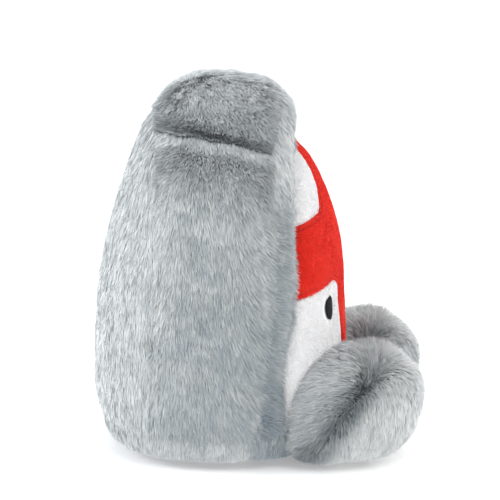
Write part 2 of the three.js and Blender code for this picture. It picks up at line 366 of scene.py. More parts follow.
def mesh_object(name, points, faces, material, uv=None):
    """A smooth mesh from an (n, 3) array of points and an (m, 3) or (m, 4) array of vertex numbers; uv has a
    row for each corner of each face."""
    mesh = bpy.data.meshes.new(name)
    count, corners = faces.shape
    mesh.vertices.add(len(points))
    mesh.vertices.foreach_set("co", np.ascontiguousarray(points, np.float32).ravel())
    mesh.loops.add(count * corners)
    mesh.loops.foreach_set("vertex_index", np.ascontiguousarray(faces, np.int32).ravel())
    mesh.polygons.add(count)
    mesh.polygons.foreach_set("loop_start", np.arange(count, dtype=np.int32) * corners)
    if uv is not None:
        layer = mesh.uv_layers.new(name="OFBake")
        layer.data.foreach_set("uv", np.ascontiguousarray(uv, np.float32).ravel())
    mesh.update(calc_edges=True)
    mesh.shade_smooth()
    mesh.materials.append(material)
    obj = bpy.data.objects.new(name, mesh)
    bpy.context.scene.collection.objects.link(obj)
    return obj


def grid_faces(rows, columns, closed=False):
    """Quads of a grid stored row by row; a closed grid joins its last column to its first."""
    row = np.arange(rows - 1)[:, None]
    column = np.arange(columns if closed else columns - 1)[None, :]
    after = (column + 1) % columns
    corners = (row * columns + column, row * columns + after,
               (row + 1) * columns + after, (row + 1) * columns + column)
    return np.stack(corners, -1).reshape(-1, 4)


def unit(vectors):
    """Each vector over its own length."""
    return vectors / np.maximum(np.linalg.norm(vectors, axis=-1, keepdims=True), 1e-12)


def grid_normals(points, closed, poles=(0, -1)):
    """Outward unit normals of a grid: the step along a row crossed with the step up a column. In a closed
    grid the rows that are poles have one normal."""
    if closed:
        wide = np.concatenate([points[:, -1:], points, points[:, :1]], 1)
        along = (wide[:, 2:] - wide[:, :-2]) / 2
    else:
        along = np.gradient(points, axis=1)
    normals = unit(np.cross(along, np.gradient(points, axis=0)))
    if closed:
        for row in poles:
            normals[row] = unit(normals[row].mean(0))
    return normals


def thick(points, normals, faces, wall):
    """A closed skin: the faces, the same faces a wall deeper turned round, and a strip at every open edge."""
    used, inverse = np.unique(faces, return_inverse=True)
    faces = inverse.reshape(faces.shape)
    outer = points[used]
    inner = outer - normals[used] * wall
    edges = np.stack([faces, np.roll(faces, -1, 1)], -1).reshape(-1, 2)
    key = np.sort(edges, 1)
    _, first, times = np.unique(key, axis=0, return_index=True, return_counts=True)
    rim = edges[first[times == 1]]
    count = len(outer)
    strip = np.stack([rim[:, 1], rim[:, 0], rim[:, 0] + count, rim[:, 1] + count], 1)
    return np.concatenate([outer, inner]), np.concatenate([faces, faces[:, ::-1] + count, strip])


def weld(obj, distance):
    """Joins points nearer than a distance, which closes poles and seams."""
    modifier = obj.modifiers.new("weld", "WELD")
    modifier.merge_threshold = distance
    apply_modifiers(obj)
    return obj


def apply_modifiers(obj):
    """Makes a piece's modifiers final."""
    evaluated = obj.evaluated_get(bpy.context.evaluated_depsgraph_get())
    mesh = bpy.data.meshes.new_from_object(evaluated)
    obj.modifiers.clear()
    obj.data = mesh


def soft_noise(points, step, seed):
    """Random values from -1 to 1 at the corners of a lattice, blended smoothly between them."""
    side = 32
    table = np.random.default_rng(seed).random((side, side, side)) * 2 - 1
    place = points / step
    corner = np.floor(place).astype(int)
    part = place - corner
    part = part * part * (3 - 2 * part)
    total = 0.0
    for dx in (0, 1):
        for dy in (0, 1):
            for dz in (0, 1):
                share = (np.where(dx, part[..., 0], 1 - part[..., 0])
                         * np.where(dy, part[..., 1], 1 - part[..., 1])
                         * np.where(dz, part[..., 2], 1 - part[..., 2]))
                value = table[(corner[..., 0] + dx) % side, (corner[..., 1] + dy) % side,
                              (corner[..., 2] + dz) % side]
                total = total + share * value
    return total


def ease(value, low, high):
    """0 under low, 1 over high and a smooth S between."""
    part = np.clip((value - low) / (high - low), 0, 1)
    return part * part * (3 - 2 * part)


def cubic(points, row, column, closed):
    """Points between a grid's points, by a Catmull-Rom curve along both its directions."""
    rows, columns = points.shape[:2]
    r0 = np.clip(np.floor(row).astype(int), 0, rows - 2)
    c0 = np.floor(column).astype(int)
    if not closed:
        c0 = np.clip(c0, 0, columns - 2)

    def weights(t):
        """Twice the shares of the four points round a part t of a step."""
        return (-t ** 3 + 2 * t ** 2 - t, 3 * t ** 3 - 5 * t ** 2 + 2,
                -3 * t ** 3 + 4 * t ** 2 + t, t ** 3 - t ** 2)

    up, across = weights(row - r0), weights(column - c0)
    total = 0.0
    for i in range(4):
        r = np.clip(r0 + i - 1, 0, rows - 1)
        for j in range(4):
            c = (c0 + j - 1) % columns if closed else np.clip(c0 + j - 1, 0, columns - 1)
            total = total + (up[i] * across[j] / 4)[..., None] * points[r, c]
    return total


# ---------------------------------------------------------------- the body's form

def share(size, z, top, bottom, taper):
    """Share of the full half size at a height. Above the belly it is (1 - taper * rise ^ taper power)
    times (1 - rise ^ crown power) ^ (1 / crown round); below, (1 - drop ^ base power) ^ (1 / base power)."""
    rise = np.clip((z - size.belly) / (top - size.belly), 0, 1)
    above = (1 - taper * rise ** size.taper_power) * (1 - rise ** size.crown_power) ** (1 / size.crown_round)
    drop = np.clip((size.belly - z) / (size.belly - bottom), 0, 1)
    return np.where(z >= size.belly, above, (1 - drop ** size.base_power) ** (1 / size.base_power))


def half_sizes(size, z, grow):
    """Half width and half depth of the body at a height."""
    top, bottom = size.height + grow, -size.base_drop - grow
    return ((size.half_width + grow) * share(size, z, top, bottom, size.width_taper),
            (size.half_depth + grow) * share(size, z, top, bottom, size.depth_taper))


def body_place(turn, rise, grow):
    """The body's surface for a turn about +Z, 0 at +X, and a rise from 0 under the base to 1 at the crown.
    Heights go with (1 - cos(pi * rise)) / 2; a section is |x| ^ p + |y| ^ p = 1; the face swells forward by
    (1 - away ^ 2) ^ 2; the crown falls to the front; the underside is flat."""
    size = bpy.context.scene.toy_body
    top, bottom = size.height + grow, -size.base_drop - grow
    z = bottom + (top - bottom) * (1 - np.cos(np.pi * rise)) / 2
    across, along = np.cos(turn), np.sin(turn)
    power = size.section_power
    reach = (np.abs(across) ** power + np.abs(along) ** power) ** (-1 / power)
    half_width, half_depth = half_sizes(size, z, grow)
    away = np.clip(np.abs(z - size.swell_height) / size.swell_reach, 0, 1)
    swell = size.swell * (1 - away ** 2) ** 2 * np.maximum(-along, 0) ** 2
    x = half_width * across * reach
    y = REST_Y + half_depth * along * reach - swell
    front = ease(REST_Y - y, -0.030, 0.075)
    z = z - size.crown_slope * front * ease(z, size.height - 0.14, size.height - 0.01)
    return np.stack([x, y, np.maximum(z, -grow)], -1)


def rise_at(z, grow=0.0):
    """The rise that body_place has at a height."""
    size = bpy.context.scene.toy_body
    top, bottom = size.height + grow, -size.base_drop - grow
    return np.arccos(np.clip(1 - 2 * (z - bottom) / (top - bottom), -1, 1)) / np.pi


def upright_seam(seam, sweep, z):
    """Where an upright seam runs in the side view: straight up, and slanting back below its sweep's start."""
    size = bpy.context.scene.toy_body
    return REST_Y + seam + sweep * np.clip(1 - z / size.sweep_start, 0, None)


def rim_seam(z):
    """Where the face's rim runs: an upright seam with a bay beside the cheek, exp(-away ^ 2) in height."""
    size = bpy.context.scene.toy_body
    bay = size.rim_bay * np.exp(-((z - BAY_HEIGHT) / BAY_REACH) ** 2)
    return upright_seam(size.face_rim, size.rim_sweep, z) + bay


def seam_distances(place):
    """Signed distances of places from the body's seams, by name; above or behind a seam is positive."""
    size = bpy.context.scene.toy_body
    y, z = place[..., 1], place[..., 2]
    crease = size.height - size.crease_drop + math.tan(size.crease_tilt) * (y - REST_Y)
    seam_middle = (size.front_seam + size.back_seam) / 2
    off_middle = (y - REST_Y - seam_middle) / (size.back_seam - size.front_seam) * 2
    crease = crease + size.crease_arch * np.maximum(1 - off_middle ** 2, 0)
    return {
        "rim": y - rim_seam(z),
        "front": y - upright_seam(size.front_seam, size.front_sweep, z),
        "back": y - upright_seam(size.back_seam, size.back_sweep, z),
        "crease": (z - crease) * math.cos(size.crease_tilt),
        "brow": z - (size.height - size.brow_drop),
        "base": z - size.base_seam,
    }


def body_panels(place):
    """The name of the panel that each place on the body is on."""
    d = seam_distances(place)
    side = np.where(place[..., 0] < 0, "right", "left")
    name = np.where(d["back"] > 0, "back_panel", np.char.add("side_gusset_", side))
    name = np.where((d["back"] <= 0) & (d["crease"] > 0), "top_gusset", name)
    name = np.where((d["front"] < 0) & (d["brow"] > 0), "brow_panel", name)
    name = np.where((d["front"] < 0) & (d["brow"] <= 0), np.char.add("front_border_", side), name)
    name = np.where(d["rim"] < 0, "face", name)
    return np.where(d["base"] < 0, "base_panel", name)


def seam_dip(place):
    """Each seam's pull times exp(-(distance / reach) ^ 2), where that seam bounds the place; the face's rim
    pulls fully, and the largest counts."""
    size = bpy.context.scene.toy_body
    d = seam_distances(place)
    near = {name: np.exp(-(value / size.seam_reach) ** 2) for name, value in d.items()}
    gusset = (d["front"] > 0) & (d["back"] < 0)
    border = (d["rim"] > 0) & (d["front"] < 0)
    near["crease"] = np.where(gusset, SEAM_PULL["crease"] * near["crease"], 0)
    near["brow"] = np.where(border, SEAM_PULL["brow"] * near["brow"], 0)
    near["back"] = SEAM_PULL["back"] * near["back"]
    near["base"] = SEAM_PULL["base"] * near["base"]
    near["front"] = np.where(place[..., 2] < size.height - 0.02, SEAM_PULL["front"] * near["front"], 0)
    return np.max(list(near.values()), 0)


def gather(place):
    """1 at the pulled stitch on the right back seam, fading to 0 round it; it is taller than wide."""
    size = bpy.context.scene.toy_body
    across = seam_distances(place)["back"] / GATHER_WIDE
    up = (place[..., 2] - size.gather_height) / GATHER_TALL
    return np.where(place[..., 0] < 0, np.exp(-across ** 2 - up ** 2), 0)


def blown_up(points, hold, most):
    """A closed grid of points as cloth, held where hold is 1 and blown up from inside; no point moves further
    than most."""
    scene = bpy.context.scene
    rows, columns = points.shape[:2]
    cloth_mesh = mesh_object("work_cloth", points.reshape(-1, 3), grid_faces(rows, columns, True),
                             finish("fur_backing"))
    held_points = cloth_mesh.vertex_groups.new(name="hold")
    for level in (0.25, 0.5, 1.0):
        chosen = np.flatnonzero(hold.ravel() >= level)
        held_points.add(chosen.tolist(), level, "REPLACE")
    cloth = cloth_mesh.modifiers.new("cloth", "CLOTH")
    settings = cloth.settings
    settings.quality = 4
    settings.mass = 0.4
    settings.tension_stiffness = 30
    settings.compression_stiffness = 30
    settings.shear_stiffness = 10
    settings.bending_stiffness = 2
    settings.use_pressure = True
    settings.uniform_pressure_force = 4
    settings.vertex_group_mass = "hold"
    settings.effector_weights.gravity = 0
    cloth.collision_settings.use_collision = False
    cloth.collision_settings.use_self_collision = False
    cloth.point_cache.frame_start = 1
    cloth.point_cache.frame_end = CLOTH_FRAMES
    for number in range(1, CLOTH_FRAMES + 1):
        scene.frame_set(number)
    evaluated = cloth_mesh.evaluated_get(bpy.context.evaluated_depsgraph_get())
    moved = np.empty(points.size, np.float32)
    evaluated.data.vertices.foreach_get("co", moved)
    shift = moved.reshape(points.shape) - points
    bpy.data.objects.remove(cloth_mesh)
    scene.frame_set(1)
    length = np.linalg.norm(shift, axis=-1, keepdims=True)
    return points + shift * np.minimum(1, most / np.maximum(length, 1e-9))


@functools.cache
def body_form():
    """The stuffed body's skin as a closed grid of points, its rows from under the base to the crown."""
    size = bpy.context.scene.toy_body
    face = bpy.context.scene.toy_face
    deep = bpy.context.scene.toy_pile.root_depth + SWELL_ROOM
    rows, columns = BODY_GRID
    rise, turn = np.meshgrid(np.linspace(0, 1, rows), np.arange(columns) / columns * 2 * np.pi, indexing="ij")
    outer = body_place(turn, rise, 0.0)
    start = body_place(turn, rise, -deep)
    distances = seam_distances(outer)
    on_face = ease(-distances["rim"], 0.0, 0.010) * ease(distances["base"], 0.0, 0.012)
    dip = seam_dip(outer) * ease(outer[..., 2], 0.010, 0.030)
    dip = dip * (1 - 0.8 * ease(outer[..., 2], size.height - 0.040, size.height - 0.015))
    eye = np.hypot((np.abs(outer[..., 0]) - face.eye_across) * 0.6, outer[..., 2] - face.eye_height)
    dent = on_face * np.exp(-(eye / face.eye_reach) ** 2)
    out = on_face * (deep - face.root_depth - SWELL_ROOM / 2) - dip * size.seam_depth - dent * face.eye_dent
    out = out - gather(outer) * size.gather_depth
    ahead = REST_Y - outer[..., 1]
    full = np.exp(-((outer[..., 2] - size.height + BROW_FULL_DROP) / BROW_FULL_REACH) ** 2)
    out = out + size.brow_fill * full * ease(ahead, 0.02, 0.05)
    start = start + grid_normals(start, True) * out[..., None]
    sewn = (dip > 0.6) | (dent > 0.9) | (gather(outer) > 0.3)
    at_rest = (outer[..., 2] < 0.012) | (rise < 0.02) | (rise > 0.985)
    return blown_up(start, np.where(sewn | at_rest, 1.0, 0.25 * on_face), BODY_MOVE)


class Skin:
    """A form's grid with its normals, sampled at any row and column."""

    def __init__(self, points):
        self.points = points
        self.normals = grid_normals(points, True)

    def at(self, row, column):
        """The points and normals at rows and columns that may lie between the grid's own."""
        return cubic(self.points, row, column, True), unit(cubic(self.normals, row, column, True))

    def scatter(self, draw, density):
        """Random rows and columns, each cell as likely as its area, with so many to the square metre."""
        p = np.concatenate([self.points, self.points[:, :1]], 1)
        across = p[1:, 1:] - p[:-1, :-1]
        other = p[1:, :-1] - p[:-1, 1:]
        area = np.linalg.norm(np.cross(across, other), axis=-1).ravel() / 2
        count = int(area.sum() * density)
        cell = draw.choice(len(area), count, p=area / area.sum())
        part = draw.random((2, count))
        columns = self.points.shape[1]
        return cell // columns + part[0], cell % columns + part[1]


# ---------------------------------------------------------------- the face's outlines

def turn_at(x, z):
    """The turn at which the front of the body's section at a height is this far across."""
    size = bpy.context.scene.toy_body
    half_width, _ = half_sizes(size, z, 0.0)
    part = np.clip(np.abs(x) / half_width, 1e-6, 0.999)
    turn = -np.arctan((part ** -size.section_power - 1) ** (1 / size.section_power))
    return np.where(x > 0, turn, -np.pi - turn)


def rim_half(z):
    """Half width of the face at a height, where the body's section meets the rim seam."""
    size = bpy.context.scene.toy_body
    half_width, half_depth = half_sizes(size, z, 0.0)
    ahead = REST_Y - rim_seam(z)
    away = np.clip(np.abs(z - size.swell_height) / size.swell_reach, 0, 1)
    swell = size.swell * (1 - away ** 2) ** 2
    x = 0.5 * half_width
    for _ in range(6):
        along = np.sin(turn_at(x, z)) ** 2
        part = np.clip((ahead - swell * along) / half_depth, 0, 1)
        x = half_width * (1 - part ** size.section_power) ** (1 / size.section_power)
    return x


def red_half(z):
    """Half width of the red marking's upright at a height: the chin, a parabola out to the band, a straight
    stretch through it, a parabola in to the blaze, and the blaze."""
    face = bpy.context.scene.toy_face
    under = np.clip((face.band_low - z) / face.corner_tall, 0, 1)
    chin = face.chin_half + face.corner * (1 - np.sqrt(under)) ** 2
    band = np.clip((z - face.band_low) / (face.band_high - face.band_low), 0, 1)
    middle = (face.chin_half + face.corner) * (1 - band) + face.brow_half * band
    over = np.clip(z - face.band_high, 0, face.brow_rise)
    bend, left = face.brow_bend, face.brow_rise - 2 * face.brow_bend
    t = (np.sqrt(bend ** 2 + left * over) - bend) / left
    reach = face.top_half + face.brow_curve
    blaze = (1 - t) ** 2 * face.brow_half + 2 * t * (1 - t) * reach + t ** 2 * face.top_half
    return np.where(z < face.band_low, chin, np.where(z < face.band_high, middle, blaze))


def band_edge(x):
    """Height of the band's low edge, which falls to the side."""
    face = bpy.context.scene.toy_face
    return face.band_low - face.band_slope * np.maximum(np.abs(x) - face.chin_half - face.corner, 0)


def band_top(x):
    """Height of the band's top, which falls to the side."""
    face = bpy.context.scene.toy_face
    return face.band_high - face.top_slope * np.maximum(np.abs(x) - face.brow_half, 0)


def face_top():
    """The height at which the rim seam closes over the face."""
    heights = np.linspace(0.30, 0.37, 400)
    return float(heights[np.argmax(rim_half(heights) <= 1e-4)])


def red_edge():
    """The outline of one half of the red marking in the front view, where stitches run: up the chin, out
    along the band, and back in along its top and up the blaze. It is two lines, as arrays of x and z."""
    size, face = bpy.context.scene.toy_body, bpy.context.scene.toy_face
    up = np.linspace(size.base_seam, face.band_low, 60)
    out = np.linspace(face.chin_half + face.corner, OUTLINE_END, 40)[1:]
    low = np.stack([np.r_[red_half(up - 1e-6), out], np.r_[up, band_edge(out)]], 1)
    top = np.linspace(face.band_high, face_top(), 60)
    back = np.linspace(OUTLINE_END, face.brow_half, 30)[:-1]
    high = np.stack([np.r_[back, red_half(top + 1e-6)], np.r_[band_top(back), top]], 1)
    return low, high


def to_edge(x, z):
    """Distance in the front view from places to the red marking's outline."""
    nearest = np.full(np.shape(x), 1.0)
    for line in red_edge():
        start, step = line[:-1], np.diff(line, axis=0)
        away_x = np.abs(x)[..., None] - start[:, 0]
        away_z = np.asarray(z)[..., None] - start[:, 1]
        t = np.clip((away_x * step[:, 0] + away_z * step[:, 1]) / np.sum(step ** 2, 1), 0, 1)
        gap = np.hypot(away_x - t * step[:, 0], away_z - t * step[:, 1])
        nearest = np.minimum(nearest, gap.min(-1))
    return nearest


# ---------------------------------------------------------------- the legs' form

def leg_middle(side):
    """The middle of a leg's block; side is -1 on the right and 1 on the left."""
    leg = bpy.context.scene.toy_leg
    across = (LEG_LOW[0] + LEG_HIGH[0]) / 2
    return np.array([side * across, LEG_LOW[1] + leg.length / 2, (LEG_HIGH[2] - leg.drop) / 2])


def body_front(x, z, grow):
    """How far forward the body's surface lies at a place in the front view."""
    size = bpy.context.scene.toy_body
    half_width, half_depth = half_sizes(size, np.maximum(z, 0.001), grow)
    part = np.clip(np.abs(x) / half_width, 0, 1)
    return REST_Y - half_depth * (1 - part ** size.section_power) ** (1 / size.section_power)


def leg_place(side, turn, rise, grow):
    """A leg's surface: |x| ^ p + |y| ^ p + |z| ^ p = 1 by its half sizes, round the leg with turn and from
    its rear to its front with rise. It is flat on the floor and its rear lies along the body."""
    leg = bpy.context.scene.toy_leg
    around = np.pi * rise
    direction = np.stack([np.sin(around) * np.cos(turn), np.cos(around), np.sin(around) * np.sin(turn)], -1)
    reach = np.sum(np.abs(direction) ** leg.power, -1, keepdims=True) ** (-1 / leg.power)
    half = np.array([(LEG_HIGH[0] - LEG_LOW[0]) / 2, leg.length / 2, (LEG_HIGH[2] + leg.drop) / 2]) + grow
    place = direction * reach * half + leg_middle(side)
    ahead = ease(leg_middle(side)[1] - place[..., 1], 0.0, TOE_REACH)
    low = 1 - np.clip(place[..., 2] / TOE_HEIGHT, 0, 1)
    push = TOE_PUSH * ease(place[..., 2], 0.04, 0.10)
    place[..., 1] = place[..., 1] + ahead * (leg.toe_round * low ** 2 - push)
    place[..., 2] = np.maximum(place[..., 2], -grow)
    rear = body_front(place[..., 0], place[..., 2], leg.clearance + 0.5 * grow)
    place[..., 1] = np.minimum(place[..., 1], rear)
    return place


def ahead_of_sole(side, place):
    """Signed distance ahead of the tilted sole seam."""
    leg = bpy.context.scene.toy_leg
    away = place - leg_middle(side)
    return -away[..., 1] * math.cos(leg.sole_tilt) - away[..., 2] * math.sin(leg.sole_tilt) - leg.sole_ahead


def behind_belly(place):
    """How far a place is from the belly that the leg's rear lies on."""
    leg = bpy.context.scene.toy_leg
    return body_front(place[..., 0], place[..., 2], leg.clearance) - place[..., 1]


@functools.cache
def leg_form(side):
    """A stuffed leg's skin as a closed grid of points, its rows from rear to front."""
    deep = bpy.context.scene.toy_pile.root_depth + SWELL_ROOM
    rows, columns = LEG_GRID
    rise, turn = np.meshgrid(np.linspace(0, 1, rows), np.arange(columns) / columns * 2 * np.pi, indexing="ij")
    outer = leg_place(side, turn, rise, 0.0)
    start = leg_place(side, turn, rise, -deep)
    held = (outer[..., 2] < 0.010) | (behind_belly(outer) < 0.006)
    return blown_up(start, np.where(held, 1.0, 0.0), LEG_MOVE)


# ---------------------------------------------------------------- pile

def combed(normals, direction):
    """A direction laid on the surface, as unit vectors."""
    flat = direction - normals * np.sum(direction * normals, -1, keepdims=True)
    return unit(flat)


def grow_pile(name, roots, normals, comb, lean, length, tone, material, draw, width, tuft, pull=0.42):
    """Pile as bent four-point blades: a root point, two side points half way and a tip. A blade leaves the
    skin at 0.6 of its lean from the normal and bends on to 1.25 of it, and its tip is drawn to the middle of
    its tuft. Its map holds the tone across, and root to tip upwards."""
    seed = bpy.context.scene.toy_pile.seed
    count = len(roots)
    side = np.cross(normals, comb)
    cell_size = tuft * np.array([1, 2.6])
    cell = np.stack([np.sum(roots * side, -1), np.sum(roots * comb, -1)], -1) / cell_size
    warp = np.stack([soft_noise(roots, tuft * 1.7, 21), soft_noise(roots, tuft * 1.7, 22)], -1)
    cell = cell + 0.45 * warp
    index = np.floor(cell).astype(int)
    offset = (index + 0.5 - cell) * cell_size
    table = np.random.default_rng(seed + 5).random((257, 263))
    tuft_tone = table[index[:, 0] % 257, index[:, 1] % 263]
    swirl = soft_noise(roots, tuft * 6, 31) * 0.20 + (draw.random(count) - 0.5) * 0.30
    comb = unit(comb + side * swirl[:, None])
    lean = lean * (1 + 0.16 * soft_noise(roots, tuft * 3, 41) + 0.16 * (draw.random(count) - 0.5))
    first = np.clip(lean * 0.6, 0.0, 1.35)[:, None]
    second = np.clip(lean * 1.25, 0.0, 1.50)[:, None]
    long = (length * (0.78 + 0.44 * draw.random(count)))[:, None]
    draw_in = (side * offset[:, :1] + comb * offset[:, 1:] * 0.36) * pull
    middle = roots + long * 0.5 * (np.cos(first) * normals + np.sin(first) * comb) + draw_in * 0.45
    tip = middle + long * 0.5 * (np.cos(second) * normals + np.sin(second) * comb) + draw_in * 0.75
    middle[:, 2] = np.maximum(middle[:, 2], FLOOR_ROOM)
    tip[:, 2] = np.maximum(tip[:, 2], FLOOR_ROOM)
    along = unit(tip - roots)
    flat = unit(np.cross(along, normals + 0.02))
    roll = (draw.random(count) - 0.5)[:, None] * 1.5
    flat = flat * np.cos(roll) + np.cross(along, flat) * np.sin(roll)
    half = width * (0.35 + 0.3 * draw.random(count))[:, None]
    points = np.stack([roots, middle + flat * half, tip, middle - flat * half], 1).reshape(-1, 3)
    start = np.arange(count)[:, None] * 4
    faces = (start[:, None] + np.array([[0, 1, 3], [3, 1, 2]])).reshape(-1, 3)
    mix = tone + 0.24 * (tuft_tone - 0.5) + 0.32 * (draw.random(count) - 0.5)
    mix = np.clip(mix + 0.10 * soft_noise(roots, tuft * 2.5, 51), 0.02, 0.98)
    u = np.stack([mix, mix + MAP_WIDTH, mix - MAP_WIDTH, mix - MAP_WIDTH, mix + MAP_WIDTH, mix], 1)
    v = np.broadcast_to(np.array([0.0, 0.5, 0.5, 0.5, 0.5, 1.0]), u.shape)
    return mesh_object(name, points, faces, material, np.stack([u, v], -1).reshape(-1, 2))


# ---------------------------------------------------------------- materials

def nodes_of(material):
    """A material's node tree and its Principled shader."""
    material.use_nodes = True
    tree = material.node_tree
    shader = next(n for n in tree.nodes if n.type == "BSDF_PRINCIPLED")
    return tree, shader


def add_node(tree, kind, **values):
    """A new node; each value sets the node's property of that name or else its input."""
    node = tree.nodes.new(kind)
    for key, value in values.items():
        if hasattr(node, key):
            setattr(node, key, value)
        else:
            node.inputs[key.replace("_", " ")].default_value = value
    return node


def node_group(name, inputs, outputs):
    """A new shader node group with its sockets, and its input and output nodes."""
    group = bpy.data.node_groups.new(name, "ShaderNodeTree")
    for label, kind, value in inputs:
        socket = group.interface.new_socket(label, in_out="INPUT", socket_type=kind)
        socket.default_value = value
    for label, kind in outputs:
        group.interface.new_socket(label, in_out="OUTPUT", socket_type=kind)
    return group, group.nodes.new("NodeGroupInput"), group.nodes.new("NodeGroupOutput")


def math_node(group, operation, *values):
    """A Math node of a group; each input is a number or another node's output."""
    node = add_node(group, "ShaderNodeMath", operation=operation)
    for socket, value in zip(node.inputs, values):
        if isinstance(value, bpy.types.NodeSocket):
            group.links.new(value, socket)
        else:
            socket.default_value = value
    return node.outputs[0]


def blend_node(group, factor, first, second, way="MIX"):
    """A colour Mix node of a group; each input is a value or another node's output."""
    node = add_node(group, "ShaderNodeMix", data_type="RGBA", blend_type=way)
    for socket, value in zip((node.inputs[0], node.inputs[6], node.inputs[7]), (factor, first, second)):
        if isinstance(value, bpy.types.NodeSocket):
            group.links.new(value, socket)
        else:
            socket.default_value = value
    return node.outputs[2]


@functools.cache
def pile_tone_group():
    """Pile Tone: the map's U picks a colour from dark through middle to light, and its V brightens it from
    the shaded root to the tip."""
    colour = (0.5, 0.5, 0.5, 1)
    group, given, out = node_group(
        "Pile Tone",
        [("Dark", "NodeSocketColor", colour), ("Middle", "NodeSocketColor", colour),
         ("Light", "NodeSocketColor", colour), ("Root", "NodeSocketFloat", 0.5),
         ("Tip", "NodeSocketFloat", 1.0)],
        [("Color", "NodeSocketColor")])
    place = add_node(group, "ShaderNodeUVMap", uv_map="OFBake")
    split = add_node(group, "ShaderNodeSeparateXYZ")
    group.links.new(place.outputs["UV"], split.inputs["Vector"])
    twice = math_node(group, "MULTIPLY", split.outputs["X"], 2.0)
    first = math_node(group, "MINIMUM", twice, 1.0)
    lower = blend_node(group, first, given.outputs["Dark"], given.outputs["Middle"])
    past = math_node(group, "MAXIMUM", math_node(group, "SUBTRACT", twice, 1.0), 0.0)
    tone = blend_node(group, past, lower, given.outputs["Light"])
    depth = add_node(group, "ShaderNodeMapRange")
    group.links.new(math_node(group, "POWER", split.outputs["Y"], 0.6), depth.inputs["Value"])
    group.links.new(given.outputs["Root"], depth.inputs["To Min"])
    group.links.new(given.outputs["Tip"], depth.inputs["To Max"])
    group.links.new(blend_node(group, 1.0, tone, depth.outputs["Result"], "MULTIPLY"), out.inputs["Color"])
    return group


@functools.cache
def grain_group():
    """Fine Grain: a noise at a scale, which lightens and darkens a colour by a spread and gives a height."""
    group, given, out = node_group(
        "Fine Grain",
        [("Color", "NodeSocketColor", (0.5, 0.5, 0.5, 1)), ("Scale", "NodeSocketFloat", 400.0),
         ("Spread", "NodeSocketFloat", 0.1)],
        [("Color", "NodeSocketColor"), ("Height", "NodeSocketFloat")])
    place = add_node(group, "ShaderNodeTexCoord")
    noise = add_node(group, "ShaderNodeTexNoise", Detail=3.0)
    group.links.new(place.outputs["Object"], noise.inputs["Vector"])
    group.links.new(given.outputs["Scale"], noise.inputs["Scale"])
    away = math_node(group, "MULTIPLY", math_node(group, "SUBTRACT", noise.outputs["Fac"], 0.5), 4.0)
    factor = math_node(group, "ADD", math_node(group, "MULTIPLY", away, given.outputs["Spread"]), 1.0)
    group.links.new(blend_node(group, 1.0, given.outputs["Color"], factor, "MULTIPLY"), out.inputs["Color"])
    group.links.new(noise.outputs["Fac"], out.inputs["Height"])
    return group


@functools.cache
def weave_group():
    """Woven Threads: two rows of soft ridges, across and up, each (1 + cos(2 pi * place / pitch)) / 2. The
    higher ridge gives the height, and the gaps between the threads darken the colour by a depth, as painted
    shade between the threads."""
    group, given, out = node_group(
        "Woven Threads",
        [("Color", "NodeSocketColor", (0.5, 0.5, 0.5, 1)), ("Pitch", "NodeSocketFloat", 0.001),
         ("Depth", "NodeSocketFloat", 0.3)],
        [("Color", "NodeSocketColor"), ("Height", "NodeSocketFloat")])
    place = add_node(group, "ShaderNodeTexCoord")
    split = add_node(group, "ShaderNodeSeparateXYZ")
    group.links.new(place.outputs["Object"], split.inputs["Vector"])
    turns = math_node(group, "DIVIDE", 2 * math.pi, given.outputs["Pitch"])
    level = math_node(group, "ADD", split.outputs["X"], split.outputs["Y"])
    ridges = []
    for along in (level, split.outputs["Z"]):
        angle = math_node(group, "MULTIPLY", along, turns)
        ridges.append(math_node(group, "MULTIPLY_ADD", math_node(group, "COSINE", angle), 0.5, 0.5))
    height = math_node(group, "MAXIMUM", *ridges)
    # Painted shade: the colour is darkened where the threads dip.
    gap = math_node(group, "MULTIPLY", math_node(group, "SUBTRACT", 1.0, height), given.outputs["Depth"])
    group.links.new(blend_node(group, 1.0, given.outputs["Color"], math_node(group, "SUBTRACT", 1.0, gap),
                               "MULTIPLY"), out.inputs["Color"])
    group.links.new(height, out.inputs["Height"])
    return group


def place_group(tree, group, **values):
    """Places a node group in a material with its own values."""
    node = add_node(tree, "ShaderNodeGroup")
    node.node_tree = group
    for label, value in values.items():
        node.inputs[label].default_value = value
    return node


def pile_material(name, tones, root, tip, sheen):
    """Pile: the tone of each blade and the shade from its root to its tip, with a soft sheen."""
    material = bpy.data.materials.new(name)
    tree, shader = nodes_of(material)
    dark, middle, light = ((*tone, 1) for tone in tones)
    tone = place_group(tree, pile_tone_group(), Dark=dark, Middle=middle, Light=light, Root=root, Tip=tip)
    tree.links.new(tone.outputs["Color"], shader.inputs["Base Color"])
    shader.inputs["Roughness"].default_value = 0.62
    shader.inputs["Specular IOR Level"].default_value = 0.3
    shader.inputs["Sheen Weight"].default_value = sheen
    shader.inputs["Sheen Roughness"].default_value = 0.45
    return material


def cloth_material(name, colour, roughness=0.9, grain=400.0, spread=0.10, bump=0.4, sheen=0.2, gloss=0.5,
                   pitch=None):
    """Cloth with a fine mottle in its colour and height. Woven cloth takes its height from threads a pitch
    apart, with painted shade in the gaps between them over the mottled colour."""
    material = bpy.data.materials.new(name)
    tree, shader = nodes_of(material)
    surface = place_group(tree, grain_group(), Color=(*colour, 1), Scale=grain, Spread=spread)
    if pitch is not None:
        woven = place_group(tree, weave_group(), Pitch=pitch, Depth=0.35)
        tree.links.new(surface.outputs["Color"], woven.inputs["Color"])
        surface = woven
    height = add_node(tree, "ShaderNodeBump", Strength=bump, Distance=0.0008)
    tree.links.new(surface.outputs["Color"], shader.inputs["Base Color"])
    tree.links.new(surface.outputs["Height"], height.inputs["Height"])
    tree.links.new(height.outputs["Normal"], shader.inputs["Normal"])
    shader.inputs["Roughness"].default_value = roughness
    shader.inputs["Specular IOR Level"].default_value = gloss
    shader.inputs["Sheen Weight"].default_value = sheen
    return material


# ---------------------------------------------------------------- pieces

